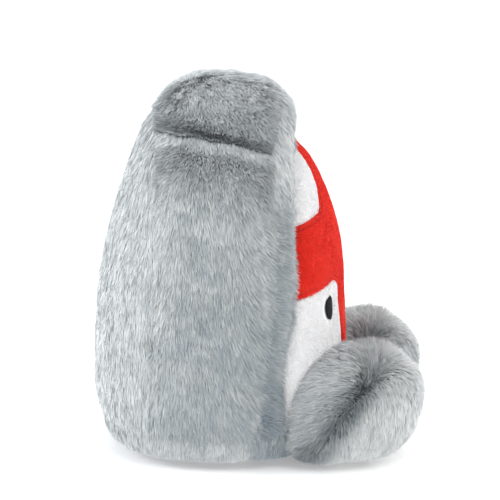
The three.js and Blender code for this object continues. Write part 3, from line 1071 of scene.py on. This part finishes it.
class TOY_OT_stage(bpy.types.Operator):
    """Floor, lights and camera"""

    bl_idname = "toy.stage"
    bl_label = "Stage"

    def execute(self, context):
        stage = context.scene.toy_stage
        back = Vector((math.sin(stage.azimuth) * math.cos(stage.elevation),
                       -math.cos(stage.azimuth) * math.cos(stage.elevation), math.sin(stage.elevation)))
        camera = bpy.data.objects.new("camera", bpy.data.cameras.new("camera"))
        camera.data.lens = stage.lens
        camera.data.clip_end = 60
        camera.location = Vector(stage.aim) + back * stage.distance
        camera.rotation_euler = back.to_track_quat("Z", "Y").to_euler()
        context.scene.collection.objects.link(camera)
        context.scene.camera = camera
        context.scene.view_settings.view_transform = "Standard"
        world = bpy.data.worlds.new("studio")
        world.use_nodes = True
        background = world.node_tree.nodes["Background"]
        background.inputs["Color"].default_value = (0.96, 0.98, 1.0, 1)
        background.inputs["Strength"].default_value = stage.ambient
        context.scene.world = world
        for name, place, power, across, tint in LIGHTS:
            lamp = bpy.data.lights.new(name, "AREA")
            lamp.energy = power
            lamp.size = across
            lamp.color = tint
            light = bpy.data.objects.new(name, lamp)
            light.location = place
            aim = Vector(place) - Vector(stage.aim)
            light.rotation_euler = aim.to_track_quat("Z", "Y").to_euler()
            context.scene.collection.objects.link(light)
        points = FLOOR_HALF * np.array([(-1, -1, 0), (1, -1, 0), (1, 1, 0), (-1, 1, 0)], float)
        material = cloth_material("pale_floor", (0.93, 0.93, 0.93), spread=0.01, bump=0.0, sheen=0.0)
        _, shader = nodes_of(material)
        shader.inputs["Emission Color"].default_value = (1, 1, 1, 1)
        shader.inputs["Emission Strength"].default_value = 0.30
        mesh_object("floor", points, np.array([[0, 1, 2, 3]]), material)
        return {"FINISHED"}


def halves(roots):
    """All of a panel's roots as one piece or, past the most in a piece, as a right and a left one."""
    if len(roots) < PIECE_ROOTS:
        return (("", slice(None)),)
    return (("_right", roots[:, 0] < 0), ("_left", roots[:, 0] >= 0))


def panel_piece(name, skin, mask, wall, material):
    """A fur panel's backing: the cells of the body's skin that are on it, as a closed sheet."""
    rows, columns = skin.points.shape[:2]
    faces = grid_faces(rows, columns, True)[mask.ravel()]
    points, quads = thick(skin.points.reshape(-1, 3), skin.normals.reshape(-1, 3), faces, wall)
    return mesh_object(name, points, quads, material)


def body_length(panel, place, distances):
    """The pile's length on a body panel: shorter on the crown, under the crease, on the border, at the face's
    rim and where the toy rests."""
    z = place[:, 2]
    length = np.full(len(place), bpy.context.scene.toy_pile.length)
    if panel == "top_gusset":
        length = length * (0.72 + 0.2 * ease(z, 0.37, 0.395))
    if panel.startswith("side_gusset"):
        length = length * (0.66 + 0.34 * ease(-distances["crease"], 0.01, 0.09))
    if panel.startswith("front_border"):
        length = length * 0.85
    if panel.startswith("front_border") or panel == "brow_panel":
        at_rim = 1 - ease(distances["rim"], 0.0, 0.014)
        length = length * (1 - 0.45 * at_rim * ease(z, 0.20, 0.24))
    if panel == "base_panel":
        length = length * (0.45 + 0.55 * ease(z, 0.002, 0.02))
    return length


def body_comb(panel, place, normals, distances):
    """Which way the pile lies on a body panel, how far it leans from the normal, and its tone. It runs down
    the sides and back, stands over the crease seam, fans towards the face at the front seam, and points to
    the face on the border. The tone holds painted light and shade: painted highlights on the ledge under the
    crease, towards and over the back and over the crown, and painted shade just above the crease, over the
    recessed border and in the pulled stitch's dent."""
    size = bpy.context.scene.toy_body
    down = np.array([0.0, 0.0, -1.0])
    ahead = np.array([0.0, -1.0, 0.0])
    z = place[:, 2]
    under = -distances["crease"]
    count = len(place)
    if panel.startswith("side_gusset"):
        fan = ease(-distances["front"], -0.045, 0.0) * ease(under, 0.02, 0.09)
        turn = 0.08 - 0.10 * ease(distances["back"], -0.05, 0.0)
        direction = down + ahead * (0.85 * fan + turn)[:, None]
        ledge = 1 - ease(under, 0.005, 0.020)
        lean = math.radians(30) + math.radians(33) * ease(under, 0.018, 0.080)
        lean = lean + math.radians(24) * ledge - math.radians(8) * fan
        tone = 0.61 - 0.11 * ease(under, 0.10, 0.22)
        # Painted highlights: lighter on the ledge just under the crease, where light from above catches it,
        # and towards the back seam, where the lamp behind catches it.
        tone = tone + 0.12 * ledge + 0.14 * ease(distances["back"], -0.045, 0.0)
    elif panel == "top_gusset":
        over = ease(z, size.height - 0.034, size.height - 0.008)
        outward = np.tanh(place[:, :1] / 0.02) * np.array([1.0, 0.0, 0.0])
        direction = down + outward * over[:, None] + 0.3 * ahead
        lean = math.radians(8) + math.radians(32) * ease(distances["crease"], 0.004, 0.020)
        lean = lean + math.radians(24) * over
        # Painted highlight over the crown from the top lamp, and painted shade just above the crease, under
        # the overhanging lobe.
        tone = 0.62 + 0.10 * over - 0.03 * (1 - ease(distances["crease"], 0.002, 0.010))
    elif panel == "brow_panel":
        side = np.tanh(place[:, :1] / 0.02) * np.array([0.5, 0.0, 0.0])
        direction = down + 0.5 * ahead + side
        lean = np.full(count, math.radians(62))
        tone = 0.80 - 0.26 * (1 - ease(distances["brow"], 0.0, 0.035))
    elif panel.startswith("front_border"):
        low = 1 - ease(z, 0.05, 0.14)
        direction = ahead + down * (0.55 + 0.25 * soft_noise(place, 0.03, 61) - 0.25 * low)[:, None]
        lean = np.radians(48) + np.radians(8) * soft_noise(place, 0.02, 62) - np.radians(14) * low
        # Painted shade: the recessed border is dark, and darker still near the floor; it is lighter towards
        # the rim and higher up.
        tone = 0.44 + 0.12 * ease(-distances["rim"], -0.016, 0.0) + 0.10 * ease(z, 0.16, 0.28) - 0.16 * low
    elif panel == "back_panel":
        direction = np.broadcast_to(down + 0.12 * ahead, normals.shape)
        lean = np.full(count, math.radians(70))
        # Painted sheen: the back panel is light, and lighter towards its middle, where the lamp behind
        # catches it.
        tone = 0.71 + 0.12 * ease(distances["back"], 0.0, 0.04)
    else:
        direction = np.broadcast_to(down, normals.shape) + place * np.array([2.0, 2.0, 0.0])
        lean = np.full(count, np.radians(64))
        tone = 0.68 - 0.34 * ease(-distances["front"], -0.004, 0.010)
    # Painted shade in the dent of the pulled stitch.
    tone = tone - 0.30 * gather(place)
    return combed(normals, direction), lean, tone


@functools.cache
def finish(name):
    """The toy's materials by name, each made once."""
    pile, face = bpy.context.scene.toy_pile, bpy.context.scene.toy_face
    fur = (tuple(pile.dark), tuple(pile.mid), tuple(pile.light))
    red, white, thread = (np.array(c) for c in (face.red, face.white, face.thread))
    red_tones = (red * 0.72, red, np.minimum(red * 1.2, 1))
    white_tones = (white * 0.86, white, np.minimum(white * 1.08, 1))
    makers = {
        "fur_pile": lambda: pile_material(name, fur, 0.60, 1.08, 0.25),
        "red_nap": lambda: pile_material(name, red_tones, 0.7, 1.05, 0.1),
        "white_nap": lambda: pile_material(name, white_tones, 0.85, 1.03, 0.1),
        "fur_backing": lambda: cloth_material(name, (0.34, 0.37, 0.39), pitch=0.0014),
        "red_plush": lambda: cloth_material(name, red, spread=0.16, grain=900, sheen=0.1),
        "white_plush": lambda: cloth_material(name, white, spread=0.04, grain=900, sheen=0.1),
        "black_thread": lambda: cloth_material(name, thread, roughness=0.5, spread=0.5, grain=2500,
                                               sheen=0.0, gloss=0.12),
        "red_thread": lambda: cloth_material(name, red * 0.78, roughness=0.6, spread=0.25, grain=3000,
                                             sheen=0.0),
        "fibre": lambda: cloth_material(name, (0.86, 0.86, 0.83), spread=0.10, grain=700, bump=0.9),
        "bag_cloth": lambda: cloth_material(name, (0.70, 0.67, 0.61), grain=1500, bump=0.7, pitch=0.0011),
    }
    return makers[name]()


def fur_panels(skin, panel_of, place_of, draw, density):
    """Scatters roots over a skin and yields each panel's name and cells, and its roots with their outer
    places and normals. panel_of names the panel of an outer place; place_of gives that place for a turn and
    a rise."""
    rows, columns = skin.points.shape[:2]
    rise, turn = np.meshgrid((np.arange(rows - 1) + 0.5) / (rows - 1),
                             (np.arange(columns) + 0.5) / columns * 2 * np.pi, indexing="ij")
    cells = panel_of(place_of(turn, rise))
    row, column = skin.scatter(draw, density)
    place = place_of(column / columns * 2 * np.pi, row / (rows - 1))
    wander = np.stack([soft_noise(place, WAVE_LENGTH, 91 + i) for i in range(3)], -1)
    panel = panel_of(place + SEAM_WAVE * wander + SEAM_MIX * (draw.random(place.shape) - 0.5))
    roots, normals = skin.at(row, column)
    for name in np.unique(cells):
        mine = np.flatnonzero(panel == name)
        yield str(name), cells == name, place[mine], roots[mine], normals[mine]


class TOY_OT_body_fur(bpy.types.Operator):
    """The body's fur panels: a knitted backing and the pile on it"""

    bl_idname = "toy.body_fur"
    bl_label = "Body fur"

    def execute(self, context):
        pile = context.scene.toy_pile
        skin = Skin(body_form())
        draw = np.random.default_rng(pile.seed)
        parts = fur_panels(skin, body_panels, lambda turn, rise: body_place(turn, rise, 0.0), draw,
                           pile.density * SQUARE_MM)
        for name, cells, place, roots, normals in parts:
            if name == "face":
                continue
            cloth = panel_piece(name, skin, cells, BACKING, finish("fur_backing"))
            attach(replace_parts(cloth, name), "body")
            kept = (place[:, 2] > UNDERSIDE) | (draw.random(len(place)) < pile.under_share)
            place, roots, normals = place[kept], roots[kept], normals[kept]
            here = seam_distances(place)
            comb, lean, tone = body_comb(name, place, normals, here)
            length = body_length(name, place, here)
            slot = "dark_fur" if "border" in name or "top" in name else "grey_fur"
            for ending, mine in halves(roots):
                obj = grow_pile(f"{name}_pile{ending}", roots[mine], normals[mine], comb[mine], lean[mine],
                                length[mine], tone[mine], finish("fur_pile"), draw, pile.width, pile.tuft)
                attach(obj, "body")
        return {"FINISHED"}


def face_point(skin, x, z):
    """The skin's point and normal at a place in the front view."""
    rows, columns = skin.points.shape[:2]
    column = np.mod(turn_at(x, z) / (2 * np.pi) * columns, columns)
    return skin.at(rise_at(z) * (rows - 1), column)


def red_grid():
    """Front-view places of the red marking, a cross of an upright block and two side blocks, and which cells
    are in it. Its rows are level in the blaze and slant with the edges in the band."""
    size, face = bpy.context.scene.toy_body, bpy.context.scene.toy_face
    middle, side = 81, 34
    chin_rows, band_rows, blaze_rows = 101, 45, 60
    level = np.r_[np.linspace(size.base_seam, face.band_low, chin_rows)[:-1],
                  np.linspace(face.band_low, face.band_high, band_rows)[:-1],
                  np.linspace(face.band_high, face_top() - 0.0005, blaze_rows)][:, None]
    in_band = np.clip((level - face.band_low) / (face.band_high - face.band_low), 0, 1)

    def fall(across):
        """How far a row has come down this far across."""
        low_fall, top_fall = face.band_low - band_edge(across), face.band_high - band_top(across)
        return np.where(level < face.band_high + 1e-9, low_fall * (1 - in_band) + top_fall * in_band, 0)

    rim_z = level
    for _ in range(4):
        rim = rim_half(rim_z)
        rim_z = level - fall(rim)
    half = np.minimum(red_half(level + 1e-9), rim)
    centre = np.linspace(-1, 1, middle)[None, :] * half
    outward = half + (rim - half) * np.linspace(0, 1, side + 1)[None, 1:]
    x = np.concatenate([-outward[:, ::-1], centre, outward], 1)
    z = level - fall(x)
    low = level[:-1, 0]
    band = (low > face.band_low - 1e-6) & (low < face.band_high - 1e-6)
    column = np.arange(x.shape[1] - 1)
    upright = (column >= side) & (column < side + middle - 1)
    return x, z, band[:, None] | upright[None, :]


def cheek_grid(sign):
    """Front-view places of a white cheek: straight rows from the red's low outline to the rim."""
    size = bpy.context.scene.toy_body
    low, _ = red_edge()
    inside = low[low[:, 0] <= rim_half(low[:, 1])]
    length = np.r_[0, np.cumsum(np.hypot(*np.diff(inside, axis=0).T))]
    rows, columns = 110, 56
    t = np.linspace(0, 1, rows)
    start = np.stack([np.interp(t * length[-1], length, inside[:, i]) for i in (0, 1)], 1)
    end_z = size.base_seam + (inside[-1, 1] - size.base_seam) * t
    end = np.stack([rim_half(end_z), end_z], 1)
    end[-1] = start[-1]
    part = np.linspace(0, 1, columns)[None, :, None]
    place = start[:, None] * (1 - part) + end[:, None] * part
    x, z = place[..., 0] * sign, place[..., 1]
    return (x, z) if sign > 0 else (x[:, ::-1], z[:, ::-1])


def upper_grid(sign):
    """Front-view places of a white patch over the band: level rows from the blaze to the rim."""
    face = bpy.context.scene.toy_face
    heights = np.linspace(face.band_high, face_top(), 400)
    top = heights[np.argmax(rim_half(heights) <= red_half(heights + 1e-9))]
    rows, columns = 70, 50
    level = np.linspace(face.band_high, top, rows)[:, None]
    sunk = (top - level) / (top - face.band_high)
    inner, rim = red_half(level + 1e-9), rim_half(level)
    for _ in range(4):
        rim = rim_half(level - (face.band_high - band_top(rim)) * sunk)
    x = (inner + (rim - inner) * np.linspace(0, 1, columns)[None, :]) * sign
    z = level - (face.band_high - band_top(x)) * sunk
    return (x, z) if sign > 0 else (x[:, ::-1], z[:, ::-1])


def red_lift(edge):
    """Height of the red plush over the skin: a rolled edge, a sewn groove and a soft field inside."""
    face = bpy.context.scene.toy_face
    rolled = 0.0022 * (1 - np.exp(-(edge / 0.0016) ** 2))
    groove = 0.0021 * np.exp(-((edge - face.stitch_in) / 0.0011) ** 2)
    return rolled - groove - 0.0006


def white_lift(edge):
    """Height of the white plush over the skin: tucked under along the red."""
    return 0.0006 - 0.0022 * np.exp(-(edge / 0.0030) ** 2)


def face_panel(name, cloth, nap, x, z, lift, mask, skin, draw):
    """A short-pile panel over the face skin, with its nap."""
    face = bpy.context.scene.toy_face
    points, normals = face_point(skin, x, z)
    edge = to_edge(x, z)
    points = points + normals * lift(edge)[..., None]
    waves = 0.0006 * soft_noise(points, 0.022, 71) + 0.0003 * soft_noise(points, 0.007, 72)
    points = points + normals * waves[..., None]
    normals = grid_normals(points, False)
    faces = grid_faces(*x.shape)
    if mask is not None:
        faces = faces[mask.ravel()]
    solid, quads = thick(points.reshape(-1, 3), normals.reshape(-1, 3), faces, PLUSH)
    sheet = mesh_object(name, solid, quads, finish(cloth))
    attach(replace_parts(sheet, name), "body")
    flat = points.reshape(-1, 3)
    corner = flat[faces]
    area = np.linalg.norm(np.cross(corner[:, 2] - corner[:, 0], corner[:, 3] - corner[:, 1]), axis=1) / 2
    count = int(area.sum() * face.nap_density * SQUARE_MM)
    cell = draw.choice(len(area), count, p=area / area.sum())
    a, b = draw.random((2, count, 1))
    parts = ((1 - a) * (1 - b), a * (1 - b), a * b, (1 - a) * b)
    roots = sum(w * corner[cell, i] for i, w in enumerate(parts))
    skin_normals = normals.reshape(-1, 3)[faces]
    up = unit(sum(w * skin_normals[cell, i] for i, w in enumerate(parts)))
    eye = np.hypot((np.abs(roots[:, 0]) - face.eye_across) / face.eye_wide,
                   (roots[:, 2] - face.eye_height) / face.eye_tall)
    roots, up = roots[eye > EYE_MARGIN], up[eye > EYE_MARGIN]
    count = len(roots)
    aside = 0.5 * soft_noise(roots, 0.03, 73)[:, None] * np.array([1.0, 0, 0])
    comb = combed(up, np.array([0.0, -0.1, -1.0]) + aside)
    obj = grow_pile(f"{name}_nap", roots, up, comb, np.full(count, NAP_LEAN), np.full(count, face.nap),
                    np.full(count, 0.5), finish(nap), draw, NAP_WIDTH, NAP_TUFT, NAP_PULL)
    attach(obj, "body")


def stitches(skin):
    """Top stitching just inside the red's edge: short threads at an even pitch along the outline, each a tube
    whose radius shrinks by 0.98 * along ^ 4 towards its two closed ends."""
    face = bpy.context.scene.toy_face
    stops, sides = 6, 6
    points, faces = [], []
    for line in red_edge():
        step = unit(np.gradient(line, axis=0))
        inward = np.stack([-step[:, 1], step[:, 0]], -1)
        line = line + inward * face.stitch_in
        line = line[(line[:, 0] < rim_half(line[:, 1]) - 0.002) & (line[:, 0] > 0.003)]
        length = np.r_[0, np.cumsum(np.hypot(*np.diff(line, axis=0).T))]
        starts = np.arange(0, length[-1] - face.stitch, face.stitch_pitch)
        along = np.linspace(-1, 1, stops)
        at = starts[:, None] + face.stitch * (along + 1) / 2
        for _, sign in SIDES:
            x, z = (np.interp(at, length, line[:, i]) for i in (0, 1))
            middle, normal = face_point(skin, sign * x, z)
            middle = middle + normal * (0.0021 - 0.0006 * along ** 2)[:, None]
            ahead = unit(np.gradient(middle, axis=1))
            beside = unit(np.cross(ahead, normal))
            radius = 0.00042 * (1 - 0.98 * along ** 4)
            angle = np.arange(sides) / sides * 2 * np.pi
            ring = np.cos(angle)[:, None] * beside[:, :, None] + np.sin(angle)[:, None] * normal[:, :, None]
            tube = middle[:, :, None] + ring * radius[:, None, None]
            number = sum(map(len, points)) + np.arange(len(starts))[:, None] * stops * sides
            one = grid_faces(stops, sides, True)
            cap = np.array([[0, 1, 2, 3], [0, 3, 4, 5]])
            one = np.concatenate([one, cap[:, ::-1], cap + (stops - 1) * sides])
            points.append(tube.reshape(-1, 3))
            faces.append((number[:, :, None] + one).reshape(-1, 4))
    return np.concatenate(points), np.concatenate(faces)


class TOY_OT_face(bpy.types.Operator):
    """The face's short-pile panels with their nap and top stitching"""

    bl_idname = "toy.face"
    bl_label = "Face"

    def execute(self, context):
        skin = Skin(body_form())
        draw = np.random.default_rng(context.scene.toy_pile.seed + 1)
        x, z, mask = red_grid()
        face_panel("red_blaze", "red_plush", "red_nap", x, z, red_lift, mask, skin, draw)
        for side, sign in SIDES:
            for name, grid in (("white_cheek", cheek_grid), ("white_upper", upper_grid)):
                x, z = grid(sign)
                face_panel(f"{name}_{side}", "white_plush", "white_nap", x, z, white_lift, None, skin, draw)
        obj = mesh_object("top_stitching", *stitches(skin), finish("red_thread"))
        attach(obj, "body")
        return {"FINISHED"}


class TOY_OT_eyes(bpy.types.Operator):
    """The sewn eyes: an oval of satin stitches, one ridge to a thread"""

    bl_idname = "toy.eyes"
    bl_label = "Eyes"

    def execute(self, context):
        face = context.scene.toy_face
        skin = Skin(body_form())
        rows, columns = 157, 31
        up, across = np.meshgrid(np.linspace(-1, 1, rows), np.linspace(-1, 1, columns), indexing="ij")
        for side, sign in SIDES:
            x = sign * face.eye_across + face.eye_wide * across * np.sqrt(np.maximum(1 - up ** 2, 0.0004))
            z = face.eye_height + face.eye_tall * up + 0.0008 * across
            points, normals = face_point(skin, x, z)
            inside = np.maximum(1 - up ** 2 - across ** 2 * (1 - up ** 2), 0)
            thread = 0.00012 * np.cos(np.arange(rows) * np.pi / 2)[:, None]
            points = points + normals * (0.0016 * inside ** 0.4 + thread + 0.0022)[..., None]
            solid, quads = thick(points.reshape(-1, 3), grid_normals(points, False).reshape(-1, 3),
                                 grid_faces(*up.shape), EYE_THREAD)
            obj = mesh_object(f"eye_{side}", solid, quads, finish("black_thread"))
            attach(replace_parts(obj, f"eye_{side}"), "body")
        return {"FINISHED"}


def leg_comb(side, part, place, normals):
    """Which way the pile lies on a leg, how far it leans, and its tone: back and down on the tube, down over
    the sole, parted and standing at the sole seam. The tone is painted darker on each leg's inner side, as
    shade from the other leg, and lighter on the ridge over the sole seam, as a painted highlight."""
    ahead = ahead_of_sole(side, place)
    near = np.exp(-(ahead / 0.022) ** 2)
    ridge = near * ease(place[:, 2], 0.085, 0.110)
    down = np.array([0.0, 0.0, -1.0])
    if part == "sole_cap":
        direction = down + np.array([0.0, -0.5, 0.1]) * near[:, None] + np.array([0.0, 0.25, 0.0])
        tone = 0.88 - 0.36 * np.exp(-(ahead / 0.012) ** 2)
    else:
        direction = np.array([0.0, 1.0, -0.42]) + np.array([side * 0.2, 0.0, 0.35]) * near[:, None]
        tone = 0.60 - 0.16 * np.exp(-(ahead / 0.012) ** 2) + 0.12 * ease(place[:, 2], 0.07, 0.12)
    inner = ease(-side * (place[:, 0] - leg_middle(side)[0]), 0.0, 0.045)
    # Painted highlight on the ridge over the sole seam, and painted shade on the inner side that faces the
    # other leg.
    tone = tone + 0.30 * ridge - 0.20 * inner
    lean = math.radians(60) - math.radians(52) * np.exp(-(ahead / 0.016) ** 2)
    return combed(normals, direction), lean, tone


class TOY_OT_legs(bpy.types.Operator):
    """The legs: tube and sole backings and their pile, their rears laid along the belly where they are sewn
    on
    """

    bl_idname = "toy.legs"
    bl_label = "Legs"

    def execute(self, context):
        pile = context.scene.toy_pile
        for side, sign in SIDES:
            skin = Skin(leg_form(sign))
            draw = np.random.default_rng(pile.seed + 2 + sign)

            def panel_of(place):
                """The name of the panel that each place on this leg is on."""
                return np.where(ahead_of_sole(sign, place) > 0, f"sole_cap_{side}", f"leg_tube_{side}")

            across = float(leg_middle(sign)[0])
            parts = fur_panels(skin, panel_of, lambda turn, rise: leg_place(sign, turn, rise, 0.0), draw,
                               pile.density * SQUARE_MM)
            for name, cells, place, roots, normals in parts:
                cloth = panel_piece(name, skin, cells, BACKING, finish("fur_backing"))
                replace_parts(cloth, name)
                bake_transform(cloth)
                free = behind_belly(place) > BELLY_ROOM
                place, roots, normals = place[free], roots[free], normals[free]
                comb, lean, tone = leg_comb(sign, name[:8], place, normals)
                length = pile.length * (0.5 + 0.5 * ease(place[:, 2], 0.001, 0.02))
                length = length * (0.92 + 0.16 * np.exp(-(ahead_of_sole(sign, place) / 0.012) ** 2))
                obj = grow_pile(f"{name}_pile", roots, normals, comb, lean, length, tone,
                                finish("fur_pile"), draw, pile.width, pile.tuft)
                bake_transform(obj)
        return {"FINISHED"}


def filling(name, points, material, body):
    """A closed grid as a padded piece that stands for the node of its name and rides on a body."""
    rows, columns = points.shape[:2]
    obj = mesh_object(name, points.reshape(-1, 3), grid_faces(rows, columns, True), finish(material))
    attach(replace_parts(weld(obj, WELD), name), body)


class TOY_OT_stuffing(bpy.types.Operator):
    """The fibre filling of body and legs, and the bag of pellets on the base"""

    bl_idname = "toy.stuffing"
    bl_label = "Stuffing"

    def execute(self, context):
        low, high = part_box("pellet_bag")
        half = np.array([(high.x - low.x) / 2, (high.y - low.y) / 2, high.z - low.z])
        middle = np.array([(high.x + low.x) / 2, (high.y + low.y) / 2, low.z])
        rows, columns = BAG_GRID
        rise, turn = np.meshgrid(np.linspace(0, 1, rows), np.arange(columns) / columns * 2 * np.pi,
                                 indexing="ij")
        up, out = -np.cos(np.pi * rise), np.sin(np.pi * rise) ** 0.8
        bag = np.stack([np.cos(turn) * out, np.sin(turn) * out, np.maximum(up, 0)], -1) * half * 0.97 + middle
        lumps = 0.0008 * soft_noise(bag, 0.005, 81) + 0.0012 * soft_noise(bag, 0.022, 82)
        bag = bag + grid_normals(bag, True) * (lumps - 0.001)[..., None]
        bag[..., 2] = np.maximum(bag[..., 2], low.z)
        filling("pellet_bag", bag, "bag_cloth", "body")

        skin = Skin(body_form())
        rows, columns = BODY_GRID
        rise = np.r_[np.linspace(0, 0.09, 24)[:-1], np.linspace(0.09, 1, 84)]
        rise, turn = np.meshgrid(rise, np.arange(columns) / columns * 2 * np.pi, indexing="ij")
        points, normals = skin.at(rise * (rows - 1), turn / (2 * np.pi) * columns)
        lumps = 0.0016 * soft_noise(points, 0.012, 83) + 0.0008 * soft_noise(points, 0.004, 84)
        points = points - normals * (BODY_FILL_DEPTH - lumps)[..., None]
        over = 1 - ((points[..., 0] - middle[0]) / (half[0] + BAG_ROOM)) ** 2
        over = over - ((points[..., 1] - middle[1]) / (half[1] + BAG_ROOM)) ** 2
        dome = low.z + (half[2] + BAG_ROOM) * np.sqrt(np.maximum(over, 0))
        pocket = (rise < 0.1) & (over > 0)
        points[..., 2] = np.where(pocket, np.maximum(points[..., 2], dome), points[..., 2])
        filling("body_filling", points, "fibre", "body")

        for side, sign in SIDES:
            skin = Skin(leg_form(sign))
            lumps = 0.0014 * soft_noise(skin.points, 0.012, 85) + 0.0006 * soft_noise(skin.points, 0.005, 86)
            middle = skin.points.mean((0, 1))
            away = skin.points - middle
            reach = np.linalg.norm(away, axis=-1, keepdims=True)
            points = middle + away * (1 - (LEG_FILL_DEPTH - lumps)[..., None] / reach)
            filling(f"leg_filling_{side}", points, "fibre", f"leg_{side}")
        return {"FINISHED"}


CLASSES = (ToyBodySizes, ToyLegSizes, ToyPile, ToyFace, ToyStage, TOY_OT_stage, TOY_OT_stuffing,
           TOY_OT_body_fur, TOY_OT_face, TOY_OT_eyes, TOY_OT_legs)


class TOY_PT_panel(bpy.types.Panel):
    """The toy's pieces"""

    bl_label = "Toy"
    bl_idname = "TOY_PT_panel"
    bl_space_type = "VIEW_3D"
    bl_region_type = "UI"
    bl_category = "Toy"

    def draw(self, context):
        for item in CLASSES:
            if issubclass(item, bpy.types.Operator):
                self.layout.operator(item.bl_idname)


def register():
    """Registers the classes and gives the scene its settings."""
    for item in (*CLASSES, TOY_PT_panel):
        bpy.utils.register_class(item)
    bpy.types.Scene.toy_body = PointerProperty(type=ToyBodySizes)
    bpy.types.Scene.toy_leg = PointerProperty(type=ToyLegSizes)
    bpy.types.Scene.toy_pile = PointerProperty(type=ToyPile)
    bpy.types.Scene.toy_face = PointerProperty(type=ToyFace)
    bpy.types.Scene.toy_stage = PointerProperty(type=ToyStage)


def unregister():
    """Takes the settings and classes away again."""
    for name in ("toy_body", "toy_leg", "toy_pile", "toy_face", "toy_stage"):
        delattr(bpy.types.Scene, name)
    for item in reversed((*CLASSES, TOY_PT_panel)):
        bpy.utils.unregister_class(item)


def main():
    """Makes every piece."""
    register()
    bpy.ops.toy.stage()
    bpy.ops.toy.stuffing()
    bpy.ops.toy.body_fur()
    bpy.ops.toy.face()
    bpy.ops.toy.eyes()
    bpy.ops.toy.legs()


if __name__ == "__main__":
    main()
